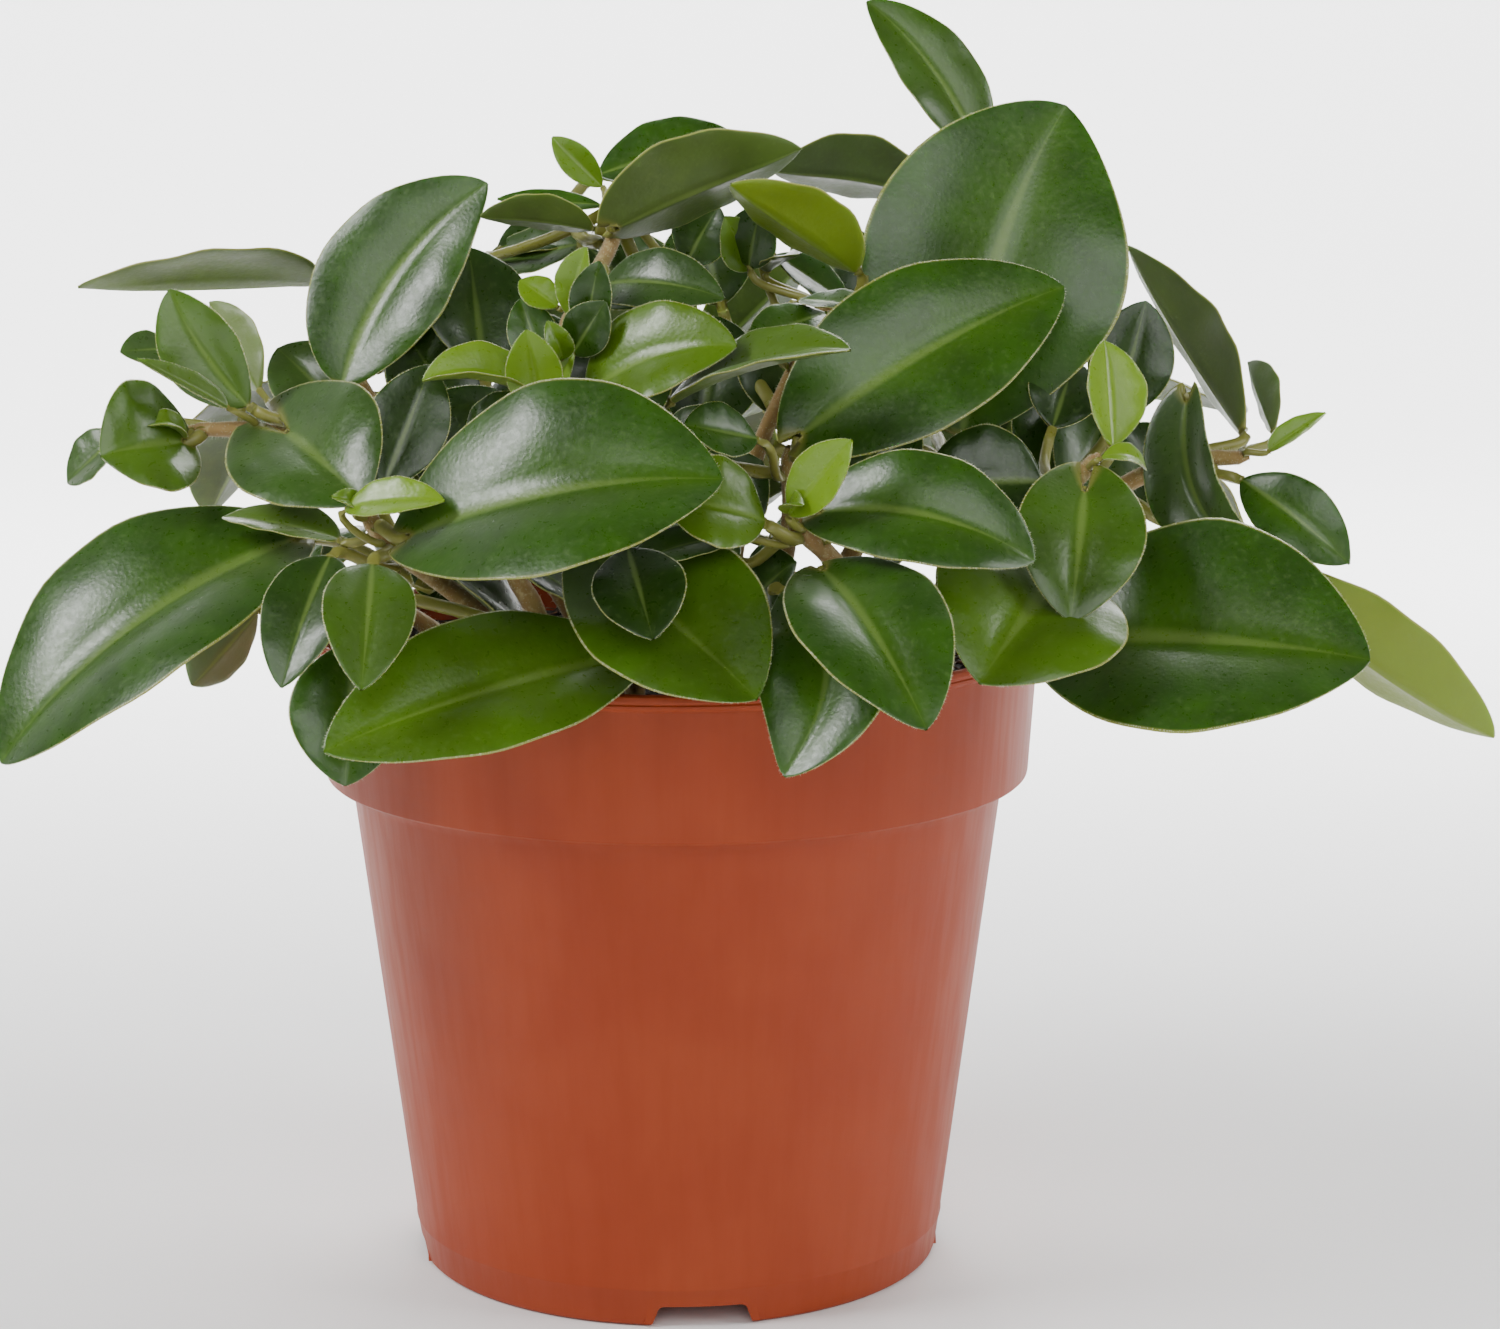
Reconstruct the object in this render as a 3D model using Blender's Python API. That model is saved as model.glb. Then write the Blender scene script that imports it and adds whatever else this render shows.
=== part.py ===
"""A leafy plant with fleshy oval leaves on creeping stems, in a round plastic nursery pot full of soil.

Everything is written in millimetres and turned into metres when a mesh is made.
X runs to the right, Y to the back and Z up; the origin is the middle of the pot's underside.
"""

import bpy
import bmesh
import numpy as np
from math import cos, radians, sin

# driving dimensions
pot = {
    "topWidth": 120.0,
    "height": 105.4,
    "footWidth": 86.4,
    "bandHeight": 23.6,  # the wider band under the rim
    "bandWidth": 115.8,  # its width where it steps out from the body
    "bodyTopWidth": 109.0,
    "wall": 1.2,
    "floor": 1.2,
    "sides": 56,
}
# drainage channels across the foot, and the round hole in the roof of each
drain = {"count": 4, "bearing": -84.0, "width": 14.5, "spread": 1.7, "height": 3.6, "inner": 17.0, "hole": 6.0}
drain["bevel"] = 1.2
drain["holeFromInner"] = 12.0
drain["holeSides"] = 16

soil = {
    "top": 99.4,
    "gap": 0.3,  # to the pot and to each stem
    "lump": 0.9,
    "socket": 3.6,  # depth of the hole that each stem stands in
    "socketSides": 10,
    "socketReach": 9.0,
}
blade = {
    "middle": 1.3,  # thickness at the midrib
    "edge": 0.5,
    "petiole": 1.0,  # radius of the leaf stalk
    "gap": 0.3,  # between a leaf stalk and its stem
    "cup": 0.12,
    "least": 0.35,  # half the width of the narrowest ring
    "stations": [0, 0.06, 0.2, 0.4, 0.6, 0.78, 0.92, 1.0],  # rings of the blade, from base to tip
    "spots": [-1, 0, 1],  # points across each side of the blade, from edge to edge
    "stalkRings": 4,
}
stem = {"sides": 6, "steps": 3, "collar": 2.0, "footGap": 0.4}

# stems: the foot in the soil (x, y), the points the stem runs through, its thickness at the foot and the tip
stems = {
    "stem_left": ((-22, -6), [(-30, -14, 114), (-44, -24, 130), (-60, -26, 140), (-76, -24, 141)], 3.4, 2.2),
    "stem_front_left": ((-20, -24), [(-30, -36, 114), (-42, -48, 126), (-46, -51, 132)], 3.4, 2.4),
    "stem_low_front": ((-6, -32), [(-6, -44, 110), (-4, -54, 117)], 3.2, 2.6),
    "stem_front": ((14, -26), [(24, -40, 112), (27, -49, 120), (24, -51, 125), (18, -53, 131)], 3.4, 2.8),
    "stem_middle": ((-6, -6), [(-12, -18, 122), (-19, -28, 144), (-16, -24, 158), (-10, -8, 169), (-10, 2, 176)], 3.4, 2.2),
    "stem_inner": ((8, 4), [(12, 2, 130), (20, -6, 150), (25, -10, 160)], 3.0, 2.0),
    "stem_short": ((14, -8), [(18, -20, 122), (18, -30, 139)], 3.0, 2.4),
    "stem_tall": ((24, 14), [(40, 22, 135), (50, 28, 160), (49, 38, 177)], 3.4, 2.2),
    "stem_right": ((28, -10), [(44, -26, 116), (58, -36, 130), (66, -32, 138)], 3.4, 2.2),
    "stem_far_right": ((34, 4), [(58, -4, 120), (78, -10, 133), (92, -12, 135)], 3.4, 2.2),
    "stem_left_back": ((-16, 12), [(-30, 6, 122), (-50, -4, 144), (-56, 8, 162)], 3.2, 2.2),
    "stem_back_left": ((-24, 26), [(-44, 44, 122), (-62, 58, 138)], 3.4, 2.2),
    "stem_back": ((2, 34), [(2, 56, 122), (0, 72, 138)], 3.4, 2.2),
    "stem_back_right": ((28, 30), [(50, 50, 120), (70, 62, 132)], 3.4, 2.2),
    "stem_low_left": ((-38, 2), [(-54, 0, 112), (-70, 4, 118)], 3.2, 2.2),
}

# leaves: the stem and how far along it, where the blade starts, where its tip ends, the blade's width,
# where its upper face looks (bearing, rise), how much it arches, sweeps sideways and folds up, its widest place
# and how far its base lobes reach back
leaves = {
    "leaf_01": ("stem_left_back", 0.97, (-59, 11, 161), (-97, 1, 161), 28, (95, 72), 0, 0, 4, 0.35, 0),
    "leaf_02": ("stem_left_back", 0.68, (-53, -11, 146), (-30, -4, 178), 24, (-105, 25), 0, -0.1, 6, 0.45, 0),
    "leaf_03": ("stem_middle", 0.45, (-31, -6, 148), (-34, 6, 167), 19, (-70, 20), 0, 0, 6, 0.5, 0),
    "leaf_05": ("stem_left", 0.76, (-66, -27, 145), (-78, -26, 163), 13, (-110, 20), 0, -0.05, 12, 0.5, 0),
    "leaf_11": ("stem_left", 0.97, (-77, -27, 139), (-88, -35, 138), 21, (-110, 20), 0.05, 0, 14, 0.45, 0.2),
    "leaf_13": ("stem_left", 0.66, (-59, -33, 141), (-46, -50, 133), 25, (-110, 45), 0.05, 0, 8, 0.4, 0.55),
    "leaf_14": ("stem_front_left", 0.85, (-44, -41, 134), (-37, -34, 152), 13, (-80, 25), 0, 0, 10, 0.5, 0),
    "leaf_15": ("stem_front_left", 0.5, (-38, -30, 132), (-28, -22, 147), 17, (-90, 30), 0, 0, 8, 0.5, 0),
    "leaf_19": ("stem_front_left", 0.6, (-58, -37, 125), (-102, -50, 93), 37, (-110, 55), 0.1, 0, 6, 0.45, 0.05),
    "leaf_21": ("stem_front_left", 0.78, (-51, -52, 125), (-57, -67, 108), 13, (-100, 10), 0.06, 0, 12, 0.45, 0),
    "leaf_22": ("stem_front_left", 0.88, (-44, -60, 125), (-44, -79, 110), 14, (-80, 30), 0.05, 0, 10, 0.45, 0),
    "leaf_23": ("stem_low_front", 0.6, (-47, -56, 113), (-48, -66, 93), 18, (-90, 25), 0.03, 0, 6, 0.5, 0),
    "leaf_24": ("stem_low_front", 0.8, (-4, -52, 110), (-50, -75, 100), 25, (-90, 45), 0.05, 0, 6, 0.5, 0),
    "leaf_25": ("stem_low_front", 0.97, (-12, -54, 126), (13, -76, 108), 28, (-90, 45), 0.02, 0, 6, 0.5, 0.1),
    "leaf_27": ("stem_front_left", 0.95, (-38, -58, 129), (8, -68, 139), 36, (-90, 45), 0.08, 0, 8, 0.5, 0.1),
    "leaf_29": ("stem_front", 0.95, (14, -57, 131), (-1, -61, 135), 16, (-90, 40), 0.07, 0, 8, 0.5, 0),
    "leaf_34": ("stem_front", 0.88, (23, -54, 132), (54, -62, 126), 20, (-90, 40), 0.12, -0.03, 8, 0.45, 0.12),
    "leaf_35": ("stem_front", 0.76, (23, -61, 124), (37, -88, 106), 23, (-80, 35), 0.08, 0, 6, 0.45, 0.1),
    "leaf_36": ("stem_front", 0.48, (17, -53, 120), (17, -78, 97), 22, (-100, 35), 0.08, -0.2, 6, 0.5, 0),
    "leaf_37": ("stem_right", 0.9, (57, -35, 134), (38, -34, 133), 18, (-90, 30), 0.05, 0, 6, 0.45, 0),
    "leaf_38": ("stem_right", 0.65, (58, -46, 120), (46, -64, 108), 31, (-90, 35), 0.06, 0, 6, 0.4, 0.15),
    "leaf_40": ("stem_right", 0.85, (63, -41, 133), (60, -56, 116), 19, (-90, 25), 0.05, 0, 8, 0.4, 0.45),
    "leaf_42": ("stem_far_right", 0.85, (82, -13, 144), (93, -35, 122), 14, (-150, 25), 0, 0.2, 20, 0.45, 0),
    "leaf_46": ("stem_far_right", 0.9, (92, -3, 138), (74, 9, 167), 20, (30, 30), 0.04, 0.1, 10, 0.45, 0),
    "leaf_53": ("stem_right", 0.7, (60, -39, 110), (105, -56, 110), 41, (-90, 45), 0.04, 0, 6, 0.45, 0.1),
    "leaf_54": ("stem_far_right", 0.72, (94, -8, 117), (132, -16, 90), 23, (80, 50), -0.05, 0, 10, 0.5, 0),
    "leaf_57": ("stem_middle", 0.9, (-9, -12, 172), (20, -12, 184), 21, (90, 50), 0.02, 0, 8, 0.4, 0.1),
    "leaf_59": ("stem_middle", 0.9, (-13, -7, 171), (-31, -8, 173), 11, (90, 55), 0.04, 0, 8, 0.45, 0),
    "leaf_67": ("stem_middle", 0.8, (-11, -22, 163), (8, -32, 162), 12, (-90, 40), 0.1, 0, 8, 0.45, 0),
    "leaf_70": ("stem_middle", 0.52, (-13, -34, 147), (10, -44, 156), 18, (-100, 40), 0.08, -0.05, 8, 0.45, 0),
    "leaf_71": ("stem_short", 0.9, (0, -38, 147), (27, -50, 156), 15, (-90, 70), 0.06, 0, 15, 0.5, 0),
    "leaf_74": ("stem_inner", 0.95, (29, -15, 165), (9, -22, 179), 18, (60, 45), 0, 0, 10, 0.45, 0),
    "leaf_76": ("stem_tall", 0.5, (46, -11, 138), (63, 3, 190), 43, (-90, 15), 0.04, -0.06, 6, 0.48, 0),
    "leaf_77": ("stem_short", 0.97, (20, -33, 141), (61, -22, 163), 28, (-90, 35), 0.04, -0.02, 6, 0.45, 0.08),
    "leaf_78": ("stem_tall", 0.97, (52, 40, 178), (32, 46, 206), 15, (-60, 10), 0, 0.08, 8, 0.5, 0),
    "leaf_79": ("stem_tall", 0.9, (43, 32, 174), (16, 30, 178), 18, (90, 50), 0.05, 0, 8, 0.5, 0),
    "leaf_81": ("stem_back_left", 0.97, (-66, 60, 137), (-88, 80, 112), 24, (130, 50), 0.1, 0, 6, 0.45, 0.05),
    "leaf_82": ("stem_back_left", 0.75, (-48, 50, 134), (-20, 62, 150), 24, (90, 50), 0.05, 0, 6, 0.45, 0.05),
    "leaf_83": ("stem_back", 0.97, (2, 77, 136), (8, 94, 102), 24, (80, 30), 0.1, 0, 6, 0.45, 0.05),
    "leaf_84": ("stem_back", 0.7, (8, 58, 131), (38, 76, 140), 24, (90, 50), 0.1, 0, 6, 0.45, 0),
    "leaf_85": ("stem_back_right", 0.97, (76, 62, 129), (101, 66, 104), 25, (20, 50), 0.1, 0, 6, 0.45, 0),
    "leaf_86": ("stem_back_right", 0.8, (63, 62, 126), (66, 92, 108), 25, (80, 50), 0.1, 0, 6, 0.45, 0.05),
}

# small young leaves and buds, written the same way, that grow in one piece with their stem
buds = {
    "bud_06": ("stem_left", 0.7, (-66, -14, 146), (-75, -4, 159), 10, (70, 20), 0, 0, 10, 0.5, 0),
    "bud_12": ("stem_left", 0.9, (-88, -16, 139), (-97, -14, 131), 10, (-120, 40), 0, 0, 10, 0.5, 0),
    "bud_16": ("stem_front_left", 0.92, (-50, -49, 127), (-69, -38, 129), 10, (-90, 70), 0.03, 0, 12, 0.45, 0),
    "bud_18": ("stem_front_left", 0.9, (-48, -57, 133), (-33, -62, 135), 8, (-90, 50), 0.05, 0, 14, 0.45, 0),
    "bud_31": ("stem_front", 0.96, (18, -56, 132), (27, -62, 144), 9, (-110, 20), 0, 0, 14, 0.5, 0),
    "bud_41": ("stem_right", 0.95, (66, -37, 138), (73, -35, 136), 5, (-90, 60), 0.2, 0, 14, 0.5, 0),
    "bud_43": ("stem_right", 0.98, (68, -31, 139), (67, -26, 155), 12, (-60, 10), 0, 0, 20, 0.5, 0),
    "bud_44": ("stem_far_right", 0.6, (71, -5, 140), (76, -2, 159), 14, (-90, 20), 0, 0, 6, 0.5, 0),
    "bud_47": ("stem_far_right", 0.98, (97, -3, 138), (94, 8, 148), 10, (40, 20), 0, 0, 10, 0.5, 0),
    "bud_49": ("stem_far_right", 0.99, (95, -13, 136), (104, -12, 142), 5, (-90, 60), 0, 0, 25, 0.4, 0),
    "bud_51": ("stem_far_right", 0.92, (92, -15, 131), (107, -21, 119), 10, (-60, 40), 0.1, 0, 8, 0.45, 0),
    "bud_56": ("stem_middle", 0.99, (-12, 4, 177), (-20, 4, 185), 6, (-120, 30), 0, 0, 25, 0.5, 0),
    "bud_60": ("stem_middle", 0.9, (-16, 9, 167), (-33, 14, 163), 11, (-90, 50), 0, 0, 8, 0.45, 0),
    "bud_63": ("stem_middle", 0.68, (-16, -28, 159), (-13, -32, 170), 7, (-120, 10), 0, 0, 20, 0.5, 0),
    "bud_68": ("stem_inner", 0.8, (20, -12, 160), (30, -24, 160), 7, (-90, 60), 0, 0, 10, 0.5, 0),
    "bud_20": ("stem_low_left", 0.97, (-69, -1, 108), (-79, -8, 97), 13, (100, 30), 0, 0, 10, 0.5, 0),
    "bud_87": ("stem_low_left", 0.9, (-68, 9, 117), (-95, 32, 103), 24, (150, 50), 0.1, 0, 6, 0.45, 0.05),
    "bud_88": ("stem_low_left", 0.7, (-58, 8, 114), (-70, 42, 106), 22, (120, 50), 0.1, 0, 6, 0.45, 0.05),
    "bud_91": ("stem_back_left", 0.85, (-62, 50, 136), (-92, 36, 126), 24, (160, 60), 0.1, 0, 6, 0.45, 0.05),
    "bud_92": ("stem_back_left", 0.92, (-56, 66, 135), (-42, 94, 116), 20, (80, 45), 0.1, 0, 6, 0.45, 0),
    "bud_93": ("stem_back_left", 0.97, (-63, 58, 141), (-60, 66, 158), 13, (180, 20), 0, 0, 14, 0.5, 0),
    "bud_94": ("stem_back", 0.9, (-7, 68, 133), (-40, 86, 112), 18, (110, 50), 0.05, 0, 6, 0.45, 0),
    "bud_95": ("stem_back", 0.95, (-3, 68, 140), (-10, 62, 166), 18, (90, 20), 0, 0, 10, 0.5, 0),
    "bud_96": ("stem_back", 0.97, (3, 73, 141), (22, 74, 160), 16, (120, 20), 0, 0, 12, 0.5, 0),
    "bud_97": ("stem_back_right", 0.9, (73, 54, 137), (96, 28, 137), 22, (30, 75), 0.05, 0, 6, 0.45, 0),
    "bud_98": ("stem_back_right", 0.95, (68, 60, 135), (52, 72, 156), 20, (110, 20), 0, 0, 10, 0.5, 0),
    "bud_99": ("stem_back_right", 0.7, (50, 52, 124), (26, 74, 114), 16, (120, 50), 0.03, 0, 6, 0.45, 0),
}


def unit(vector):
    return vector / np.linalg.norm(vector)


def looking(bearing, rise):
    bearing, rise = radians(bearing), radians(rise)
    return np.array([cos(bearing) * cos(rise), sin(bearing) * cos(rise), sin(rise)])


def curve(knots, t):
    """Points of a smooth curve between the second and third of four knots."""
    a, b, c, d = knots
    return 0.5 * (2 * b + (c - a) * t + (2 * a - 5 * b + 4 * c - d) * t**2 + (3 * b - a - 3 * c + d) * t**3)


def stemPath(name):
    """Points down the middle of a stem: straight up out of the soil, then a smooth run through its points."""
    foot, through, _, _ = stems[name]
    foot = np.array([foot[0], foot[1], soil["top"] - soil["socket"] + stem["footGap"]])
    collar = foot + [0, 0, soil["socket"] + stem["collar"]]
    knots = np.array([collar, *through], float)
    before = collar - [0, 0, np.linalg.norm(knots[1] - collar)]
    knots = np.vstack([before, knots, 2 * knots[-1] - knots[-2]])
    t = np.linspace(0, 1, stem["steps"] + 1)[:-1, None]
    runs = [curve(knots[first : first + 4], t) for first in range(len(knots) - 3)]
    return np.vstack([foot, *runs, knots[-2]])


def stemPoint(name, place):
    """The point, direction and radius of a stem at a place from 0 (foot) to 1 (tip)."""
    path = stemPath(name)
    runs = np.linalg.norm(np.diff(path, axis=0), axis=1)
    along = np.concatenate([[0], np.cumsum(runs)]) / runs.sum()
    index = min(int(np.searchsorted(along, place, side="right")) - 1, len(runs) - 1)
    share = (place - along[index]) / (along[index + 1] - along[index])
    point = path[index] + (path[index + 1] - path[index]) * share
    thick = np.interp(place, [0, 1], stems[name][2:])
    return point, unit(path[index + 1] - path[index]), thick / 2


def tube(path, heads, radii, across, turn):
    """Rings of points round a path at the angles of turn; each ring's side is carried on from the last."""
    rings = []
    for point, head, radius in zip(path, heads, radii):
        head = unit(head)
        across = unit(across - head * (across @ head))
        upward = np.cross(head, across)
        rings.append(point + radius * (np.cos(turn) * across + np.sin(turn) * upward))
    return np.array(rings)


def outline(t, width, widest):
    """Half the blade's width from base (0) to tip (1): a sine to a power, with its peak at the widest place."""
    bend = np.log(0.5) / np.log(widest)
    half = width / 2 * np.sin(np.pi * np.clip(t, 0, 1) ** bend) ** 0.68
    return np.maximum(half, blade["least"])


def bladeRings(row):
    """Rings of the blade from base to tip, the upper side first, then the lower, with the base's directions."""
    width, look, arch, sweep, fold, widest, lobes = row[4:]
    base, tip = np.array(row[2:4], float)
    length = np.linalg.norm(tip - base)
    ahead = (tip - base) / length
    up = looking(*look)
    up = unit(up - ahead * (up @ ahead))
    bow = (up * arch + np.cross(ahead, up) * sweep) * length
    # the midrib: base + chord t + bow 4 t (1 - t)
    t = np.array(blade["stations"])[:, None]
    rib = base + (tip - base) * t + bow * 4 * t * (1 - t)
    head = tip - base + bow * 4 * (1 - 2 * t)
    head /= np.linalg.norm(head, axis=1)[:, None]
    normal = up - head * (head @ up)[:, None]
    normal /= np.linalg.norm(normal, axis=1)[:, None]
    side = np.cross(head, normal)
    # across the blade: s runs from one edge (-1) to the other (1), and the base's lobes reach back by |s| to 1.5
    s = np.array(blade["spots"])[None, :, None]
    half = outline(t, width, widest)[:, None]
    t = t[:, :, None]
    lobe = lobes * length * np.abs(s) ** 1.5 * (1 - t) ** 4
    middle = rib[:, None] + side[:, None] * half * s * cos(radians(fold)) - head[:, None] * lobe
    middle = middle + normal[:, None] * half * (np.abs(s) * sin(radians(fold)) + blade["cup"] * s**2)
    thick = blade["edge"] + (blade["middle"] - blade["edge"]) * (1 - s**2)
    thick = thick * np.clip(1.25 - t**6, 0.4, 1)
    upper = middle + normal[:, None] * thick / 2
    lower = middle - normal[:, None] * thick / 2
    return np.concatenate([upper, lower[:, ::-1]], axis=1), head[0], side[0]


def stalkRings(row, joined, head, side):
    """Rings of the leaf stalk: it leaves its stem at right angles and bends round into the blade's base."""
    centre, along, radius = stemPoint(*row[:2])
    base = np.array(row[2], float)
    toward = unit(base - centre)
    out = unit(toward - along * (toward @ along))
    start = centre + out * (0 if joined else radius + blade["gap"])
    reach = np.linalg.norm(base - start)
    u = np.linspace(0, 1, blade["stalkRings"])[:, None]
    a, b, c, d = start, start + out * reach * 0.4, base - head * reach * 0.4, base
    path = a * (1 - u) ** 3 + 3 * b * u * (1 - u) ** 2 + 3 * c * u**2 * (1 - u) + d * u**3
    heads = np.gradient(path, axis=0)
    heads[0], heads[-1] = out, head
    count = 2 * len(blade["spots"])
    turn = np.radians(np.arange(count) * 360 / count - 180 + 180 / count)[:, None]
    radii = [blade["petiole"]] * len(path)
    return tube(path[::-1], heads[::-1], radii, side, turn)[::-1]


def leafMesh(name):
    row, joined = {**leaves, **buds}[name], name in buds
    rings, head, side = bladeRings(row)
    rings = np.vstack([stalkRings(row, joined, head, side), rings[1:]])
    return rings.reshape(-1, 3), skin(rings)


def stemMesh(name):
    path = stemPath(name)
    radii = np.linspace(*stems[name][2:], len(path)) / 2
    turn = np.radians(np.arange(stem["sides"]) * 360 / stem["sides"])[:, None]
    rings = tube(path, np.gradient(path, axis=0), radii, np.array([1.0, 0.0, 0.0]), turn)
    return rings.reshape(-1, 3), skin(rings)


def skin(rings):
    """Faces of a closed skin over rings of equal size, with flat ends."""
    count, size = rings.shape[:2]
    faces = []
    for ring in range(count - 1):
        for spot in range(size):
            after = (spot + 1) % size
            low, high = ring * size, (ring + 1) * size
            faces.append((low + spot, low + after, high + after, high + spot))
    faces.append(tuple(range(size))[::-1])
    faces.append(tuple((count - 1) * size + spot for spot in range(size)))
    return faces


def lathe(profile, sides):
    """A solid of revolution about Z from (radius, height) points, the first and the last on the axis."""
    angle = np.radians(np.arange(sides) * 360 / sides)
    rings = np.array([[[r * cos(a), r * sin(a), z] for a in angle] for r, z in profile[1:-1]])
    points = np.vstack([rings.reshape(-1, 3), [[0, 0, profile[0][1]]], [[0, 0, profile[-1][1]]]])
    faces = skin(rings)[:-2]
    last = (len(rings) - 1) * sides
    for side in range(sides):
        after = (side + 1) % sides
        faces.append((len(points) - 2, after, side))
        faces.append((len(points) - 1, last + side, last + after))
    return points, faces


def bodyRadius(z):
    """Outside radius of the pot's body below the band."""
    share = z / (pot["height"] - pot["bandHeight"])
    return (pot["footWidth"] + (pot["bodyTopWidth"] - pot["footWidth"]) * share) / 2


def bar(bearing, near, far, low, high, wideLow, wideHigh):
    """A radial bar between two radii and two heights, with a bevelled trapezium section."""
    a, bevel = radians(bearing), drain["bevel"]
    out = np.array([cos(a), sin(a), 0])
    across = np.array([-sin(a), cos(a), 0])
    half = wideHigh / 2
    section = [(-wideLow / 2, low), (wideLow / 2, low), (half, high - bevel), (half - bevel, high)]
    section += [(bevel - half, high), (-half, high - bevel)]
    rings = np.array([[out * radius + across * s + [0, 0, z] for s, z in section] for radius in (near, far)])
    return rings.reshape(-1, 3), skin(rings)


def build(name, points, faces, material):
    """A named object from points in millimetres, with its faces turned outwards."""
    mesh = bpy.data.meshes.new(name)
    mesh.from_pydata((np.asarray(points, float) / 1000).reshape(-1, 3).tolist(), [], faces)
    work = bmesh.new()
    work.from_mesh(mesh)
    bmesh.ops.recalc_face_normals(work, faces=work.faces)
    bmesh.ops.triangulate(work, faces=work.faces)
    work.to_mesh(mesh)
    work.free()
    mesh.materials.append(material)
    item = bpy.data.objects.new(name, mesh)
    bpy.context.scene.collection.objects.link(item)
    return item


def combine(item, other, operation):
    """Works a boolean into the item's mesh and removes the other object."""
    work = item.modifiers.new("work", "BOOLEAN")
    work.operation = operation
    work.solver = "EXACT"
    work.object = other
    bpy.context.view_layer.update()
    graph = bpy.context.evaluated_depsgraph_get()
    mesh = bpy.data.meshes.new_from_object(item.evaluated_get(graph))
    item.modifiers.remove(work)
    old = item.data
    item.data = mesh
    mesh.name = item.name
    bpy.data.meshes.remove(old)
    bpy.data.objects.remove(other)


def smooth(item, angle):
    """Smooth shading, with edges sharper than the angle kept crisp."""
    item.data.shade_smooth()
    item.data.set_sharp_from_angle(angle=radians(angle))


def potProfile():
    """Half the pot's section from the axis out under the foot, up the outside and down the inside."""
    wall, top, foot = pot["wall"], pot["height"], pot["footWidth"] / 2
    step = top - pot["bandHeight"]
    band, rim, body = pot["bandWidth"] / 2, pot["topWidth"] / 2, pot["bodyTopWidth"] / 2
    inside = bodyRadius(0) - wall
    return [
        (0, 0),
        (foot - 1.0, 0),
        (foot, 0.8),
        (bodyRadius(6.2), 6.2),  # a faint ring above the foot
        (bodyRadius(6.2) + 0.15, 6.6),
        (bodyRadius(step) - 0.4, step - 0.5),
        (body + 0.4, step - 0.1),  # the step out to the band
        (band - 0.5, step),
        (band, step + 0.7),
        (rim - 0.7, top - 2.6),
        (rim - 0.1, top - 2.2),  # the rolled lip
        (rim, top - 1.2),
        (rim - 0.3, top - 0.3),
        (rim - 0.9, top),
        (rim - 1.7, top - 0.3),
        (rim - 0.7 - wall, top - 2.8),
        (band - wall, step + wall),
        (body - wall, step - 0.6),
        (bodyRadius(8) - wall, 8),
        (inside - 0.2, pot["floor"] + 0.8),
        (inside - 1.0, pot["floor"]),
        (0, pot["floor"]),
    ]


def makePot(material):
    item = build("pot", *lathe(potProfile(), pot["sides"]), material)
    wall, wide, spread = pot["wall"], drain["width"], drain["spread"]
    roof = drain["height"] + pot["floor"]
    bearings = [drain["bearing"] + number * 360 / drain["count"] for number in range(drain["count"])]
    for bearing in bearings:
        far, wider = bodyRadius(0) - wall / 2, wide + 2 * wall
        trough = bar(bearing, drain["inner"] - wall, far, wall / 2, roof, wider + spread, wider)
        combine(item, build("trough", *trough, material), "UNION")
    for bearing in bearings:
        # the cutter runs from below the foot and out past the body
        channel = bar(bearing, drain["inner"], pot["topWidth"] / 2, -2, drain["height"], wide + 2 * spread, wide)
        combine(item, build("channel", *channel, material), "DIFFERENCE")
        a, radius = radians(bearing), drain["hole"] / 2
        spot = np.array([cos(a), sin(a), 0]) * (drain["inner"] + drain["holeFromInner"])
        points, faces = lathe([(0, 1), (radius, 1), (radius, roof + 2), (0, roof + 2)], drain["holeSides"])
        combine(item, build("hole", points + spot, faces, material), "DIFFERENCE")
    smooth(item, 30)


def soilSkin():
    """The soil fills the pot with a small gap; its level top carries lumps."""
    gap, top, wall = soil["gap"], soil["top"], pot["wall"]
    low = drain["height"] + pot["floor"] + gap
    step = pot["height"] - pot["bandHeight"]
    edge = pot["bandWidth"] / 2 - wall - gap
    profile = [
        (0, low),
        (bodyRadius(low) - wall - gap - 0.5, low),
        (pot["bodyTopWidth"] / 2 - wall - gap, step - 0.1),
        (edge, step + wall + 0.5),
        (edge + 0.5, top - 1.6),
        (edge - 1.5, top - 0.6),
        *[(edge * share, top) for share in (0.86, 0.7, 0.54, 0.38, 0.2)],
        (0, top + 0.3),
    ]
    points, faces = lathe(profile, pot["sides"])
    # lumps: height += lump sin(x / 5 + 2) sin(y / 4 + 1) where the surface is level
    level = points[:, 2] > top - 0.1
    lump = soil["lump"] * np.sin(points[:, 0] / 5 + 2) * np.sin(points[:, 1] / 4 + 1)
    points[:, 2] += np.where(level, lump, 0)
    return points, faces


def makeSoil(material):
    item = build("soil", *soilSkin(), material)
    low = soil["top"] - soil["socket"]
    high = low + soil["socketReach"]
    for foot, _, thick, _ in stems.values():
        radius = thick / 2 + soil["gap"] + 0.1
        points, faces = lathe([(0, low), (radius, low), (radius, high), (0, high)], soil["socketSides"])
        combine(item, build("socket", points + [*foot, 0], faces, material), "DIFFERENCE")
    smooth(item, 40)


def paint(name, colour, roughness):
    material = bpy.data.materials.new(name)
    material.use_nodes = True
    shader = material.node_tree.nodes["Principled BSDF"]
    shader.inputs["Base Color"].default_value = (*colour, 1)
    shader.inputs["Roughness"].default_value = roughness
    return material


def makeStem(name):
    """A stem with its young leaves joined to it."""
    material = paint(name + "_skin", (0.35, 0.28, 0.13), 0.7)
    item = build(name, *stemMesh(name), material)
    for bud, row in buds.items():
        if row[0] == name:
            combine(item, build(bud, *leafMesh(bud), material), "UNION")
    smooth(item, 50)


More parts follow.
